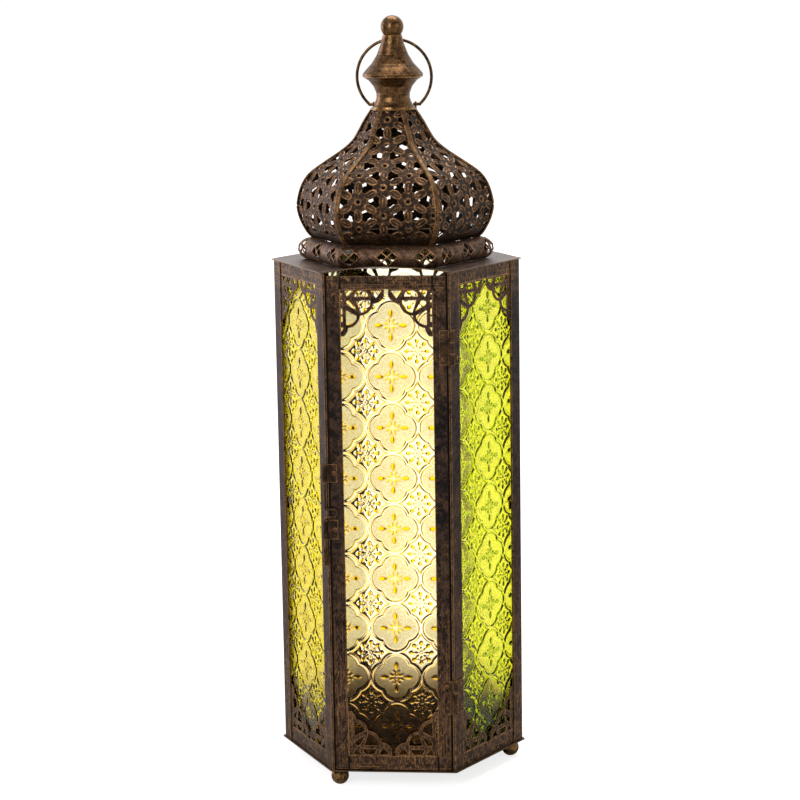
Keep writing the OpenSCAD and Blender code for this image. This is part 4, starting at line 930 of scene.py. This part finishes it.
def bakeNodes(name, points, edges, tree, values, sharp):  # the tree's result as a plain mesh
    seed = bpy.data.meshes.new(name + "Seed")
    seed.from_pydata([tuple(p) for p in points], edges, [])
    carrier = addObject(name + "Seed", seed)
    modifier = carrier.modifiers.new("build", "NODES")
    modifier.node_group = tree
    for identifier, value in values.items():
        modifier[identifier] = value
    evaluated = carrier.evaluated_get(bpy.context.evaluated_depsgraph_get())
    mesh = bpy.data.meshes.new_from_object(evaluated)
    mesh.name = name
    carrier.modifiers.remove(modifier)
    bpy.data.objects.remove(carrier)
    smoothed(mesh, sharp)
    print("  ", name, len(mesh.polygons), "faces")
    return addObject(name, mesh)


ribTree, ribSockets = buildRibTree(metals["strip"])
seamLine = domeProfile.line[::ribLine["every"]]
ribPoints = [((depth / cos30 + ribLine["proud"]) * mm, 0, level * mm) for depth, level in seamLine]
strips = bakeNodes("seamStrips", ribPoints, [(i, i + 1) for i in range(len(ribPoints) - 1)], ribTree,
                   {ribSockets[name]: value for name, value in ribLook.items()}, sharpAngles["strip"])
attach(strips, "lantern")
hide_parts("dome_ribs")
print("seam strips made")

# Finishes for the CAD nodes

nodeFinishes = {
    "tray": ["base_tray"],
    "sheet": ["post_", "frame_", "fretwork_", "glass_clips", "door_clips"],
    "door": ["door_frame", "door_fretwork"],
    "turned": ["finial_", "dome_collar", "candle_cup", "bail_ears"],
    "hardware": ["hinge_", "latch_", "rivets_"],
    "bail": ["bail_ring"],
    "ball": ["foot_"],
}
for name, piece in nodes.items():
    for finish, starts in nodeFinishes.items():
        if any(name.startswith(text) for text in starts):
            piece.data.materials.clear()
            piece.data.materials.append(metals[finish])
print("CAD nodes finished")

# Stage, lamps and camera, in metres

floorLook = {"radius": 6, "sides": 64, "color": (0.6, 0.6, 0.6, 1), "near": 0.78, "far": 0.24,
             "farAt": (0.2, 0.9), "mirrorAt": (0.9, 2.6), "mirror": 0.85}
worldLook = {"color": (1.0, 0.94, 0.88), "plain": 0.4, "seen": 0.62, "behindAt": (-0.1, 0.7)}


def whiteShare(tree, place, mirror):  # 1 for what camera or glass sees; metal mirrors what is behind it
    path = tree.nodes.new("ShaderNodeLightPath").outputs
    mirrored = times(tree, path["Is Glossy Ray"], ramp(tree, axesOf(tree, place)[1], worldLook["behindAt"]))
    mirrored = times(tree, mirrored, mirror)
    return most(tree, most(tree, path["Is Camera Ray"], path["Is Transmission Ray"]), mirrored)


def buildFloor():
    material, tree = newMaterial("paleFloor")
    place = objectPlace(tree)
    away = vectorNode(tree, "LENGTH", place)
    share = times(tree, ramp(tree, away, floorLook["farAt"]), floorLook["far"])
    share = plus(tree, floorLook["near"], share)
    mirror = times(tree, ramp(tree, away, floorLook["mirrorAt"]), floorLook["mirror"])
    glow = tree.nodes.new("ShaderNodeEmission")
    glow.inputs["Color"].default_value = (1, 1, 1, 1)
    tree.links.new(times(tree, share, whiteShare(tree, place, mirror)), glow.inputs["Strength"])
    matt = addNode(tree, "ShaderNodeBsdfDiffuse", Color=floorLook["color"])
    both = tree.nodes.new("ShaderNodeAddShader")
    output = tree.nodes.new("ShaderNodeOutputMaterial")
    tree.links.new(matt.outputs[0], both.inputs[0])
    tree.links.new(glow.outputs[0], both.inputs[1])
    tree.links.new(both.outputs[0], output.inputs[0])
    mesh = bpy.data.meshes.new("floor")
    turns = np.linspace(0, 2 * math.pi, floorLook["sides"], endpoint=False)
    ring = [(floorLook["radius"] * math.cos(a), floorLook["radius"] * math.sin(a), 0) for a in turns]
    mesh.from_pydata(ring, [], [list(range(len(ring)))])
    mesh.materials.append(material)
    addObject("floor", mesh)


def buildWorld():
    world = bpy.data.worlds.new("studio")
    bpy.context.scene.world = world
    world.use_nodes = True
    tree = world.node_tree
    tree.nodes.clear()
    sky = tree.nodes.new("ShaderNodeBackground")
    output = tree.nodes.new("ShaderNodeOutputWorld")
    seen = whiteShare(tree, tree.nodes.new("ShaderNodeTexCoord").outputs["Generated"], 1.0)
    tree.links.new(mixColor(tree, seen, worldLook["color"], (1, 1, 1)), sky.inputs["Color"])
    strength = plus(tree, worldLook["plain"], times(tree, seen, worldLook["seen"]))
    tree.links.new(strength, sky.inputs["Strength"])
    tree.links.new(sky.outputs[0], output.inputs[0])


lampAim = Vector((0, 0, 0.3))
lampLook = {
    "left": {"at": (-1.9, 0.7, 0.8), "size": 1.2, "power": 12, "color": (0.93, 0.86, 1.0)},
    "front": {"at": (-0.9, -1.9, 1.3), "size": 1.0, "power": 20, "color": (1.0, 0.95, 0.90)},
    "right": {"at": (1.8, -1.0, 0.9), "size": 1.0, "power": 4, "color": (1.0, 0.92, 0.84)},
    "top": {"at": (0.0, 0.5, 2.1), "size": 1.3, "power": 27, "color": (1.0, 0.93, 0.92)},
}
for name, look in lampLook.items():
    lamp = bpy.data.lights.new(name, "AREA")
    lamp.energy = look["power"]
    lamp.size = look["size"]
    lamp.color = look["color"]
    holder = addObject(name, lamp)
    holder.location = look["at"]
    holder.rotation_mode = "QUATERNION"
    holder.rotation_quaternion = (lampAim - Vector(look["at"])).to_track_quat("-Z", "Y")
buildFloor()
buildWorld()

cameraLook = {"at": (0.18309, -1.94432, 0.66003), "yaw": 0.0931, "pitch": 0.1841, "roll": -0.0160,
              "lens": 111.152, "sensor": 36, "clip": (0.05, 50)}
camera = bpy.data.cameras.new("camera")
camera.sensor_width = cameraLook["sensor"]
camera.lens = cameraLook["lens"]
camera.clip_start, camera.clip_end = cameraLook["clip"]
rig = addObject("camera", camera)
yaw, pitch = cameraLook["yaw"], cameraLook["pitch"]
ahead = Vector((-math.sin(yaw), math.cos(yaw), 0))
right = Vector((math.cos(yaw), math.sin(yaw), 0))
forward = ahead * math.cos(pitch) - Vector((0, 0, math.sin(pitch)))
up = Vector((0, 0, math.cos(pitch))) + ahead * math.sin(pitch)
axes = Matrix((right, up, -forward)).transposed() @ Matrix.Rotation(cameraLook["roll"], 3, "Z")
rig.matrix_world = Matrix.Translation(cameraLook["at"]) @ axes.to_4x4()
bpy.context.scene.camera = rig
bpy.context.scene.view_settings.view_transform = "Standard"
print("stage, lamps and camera set")
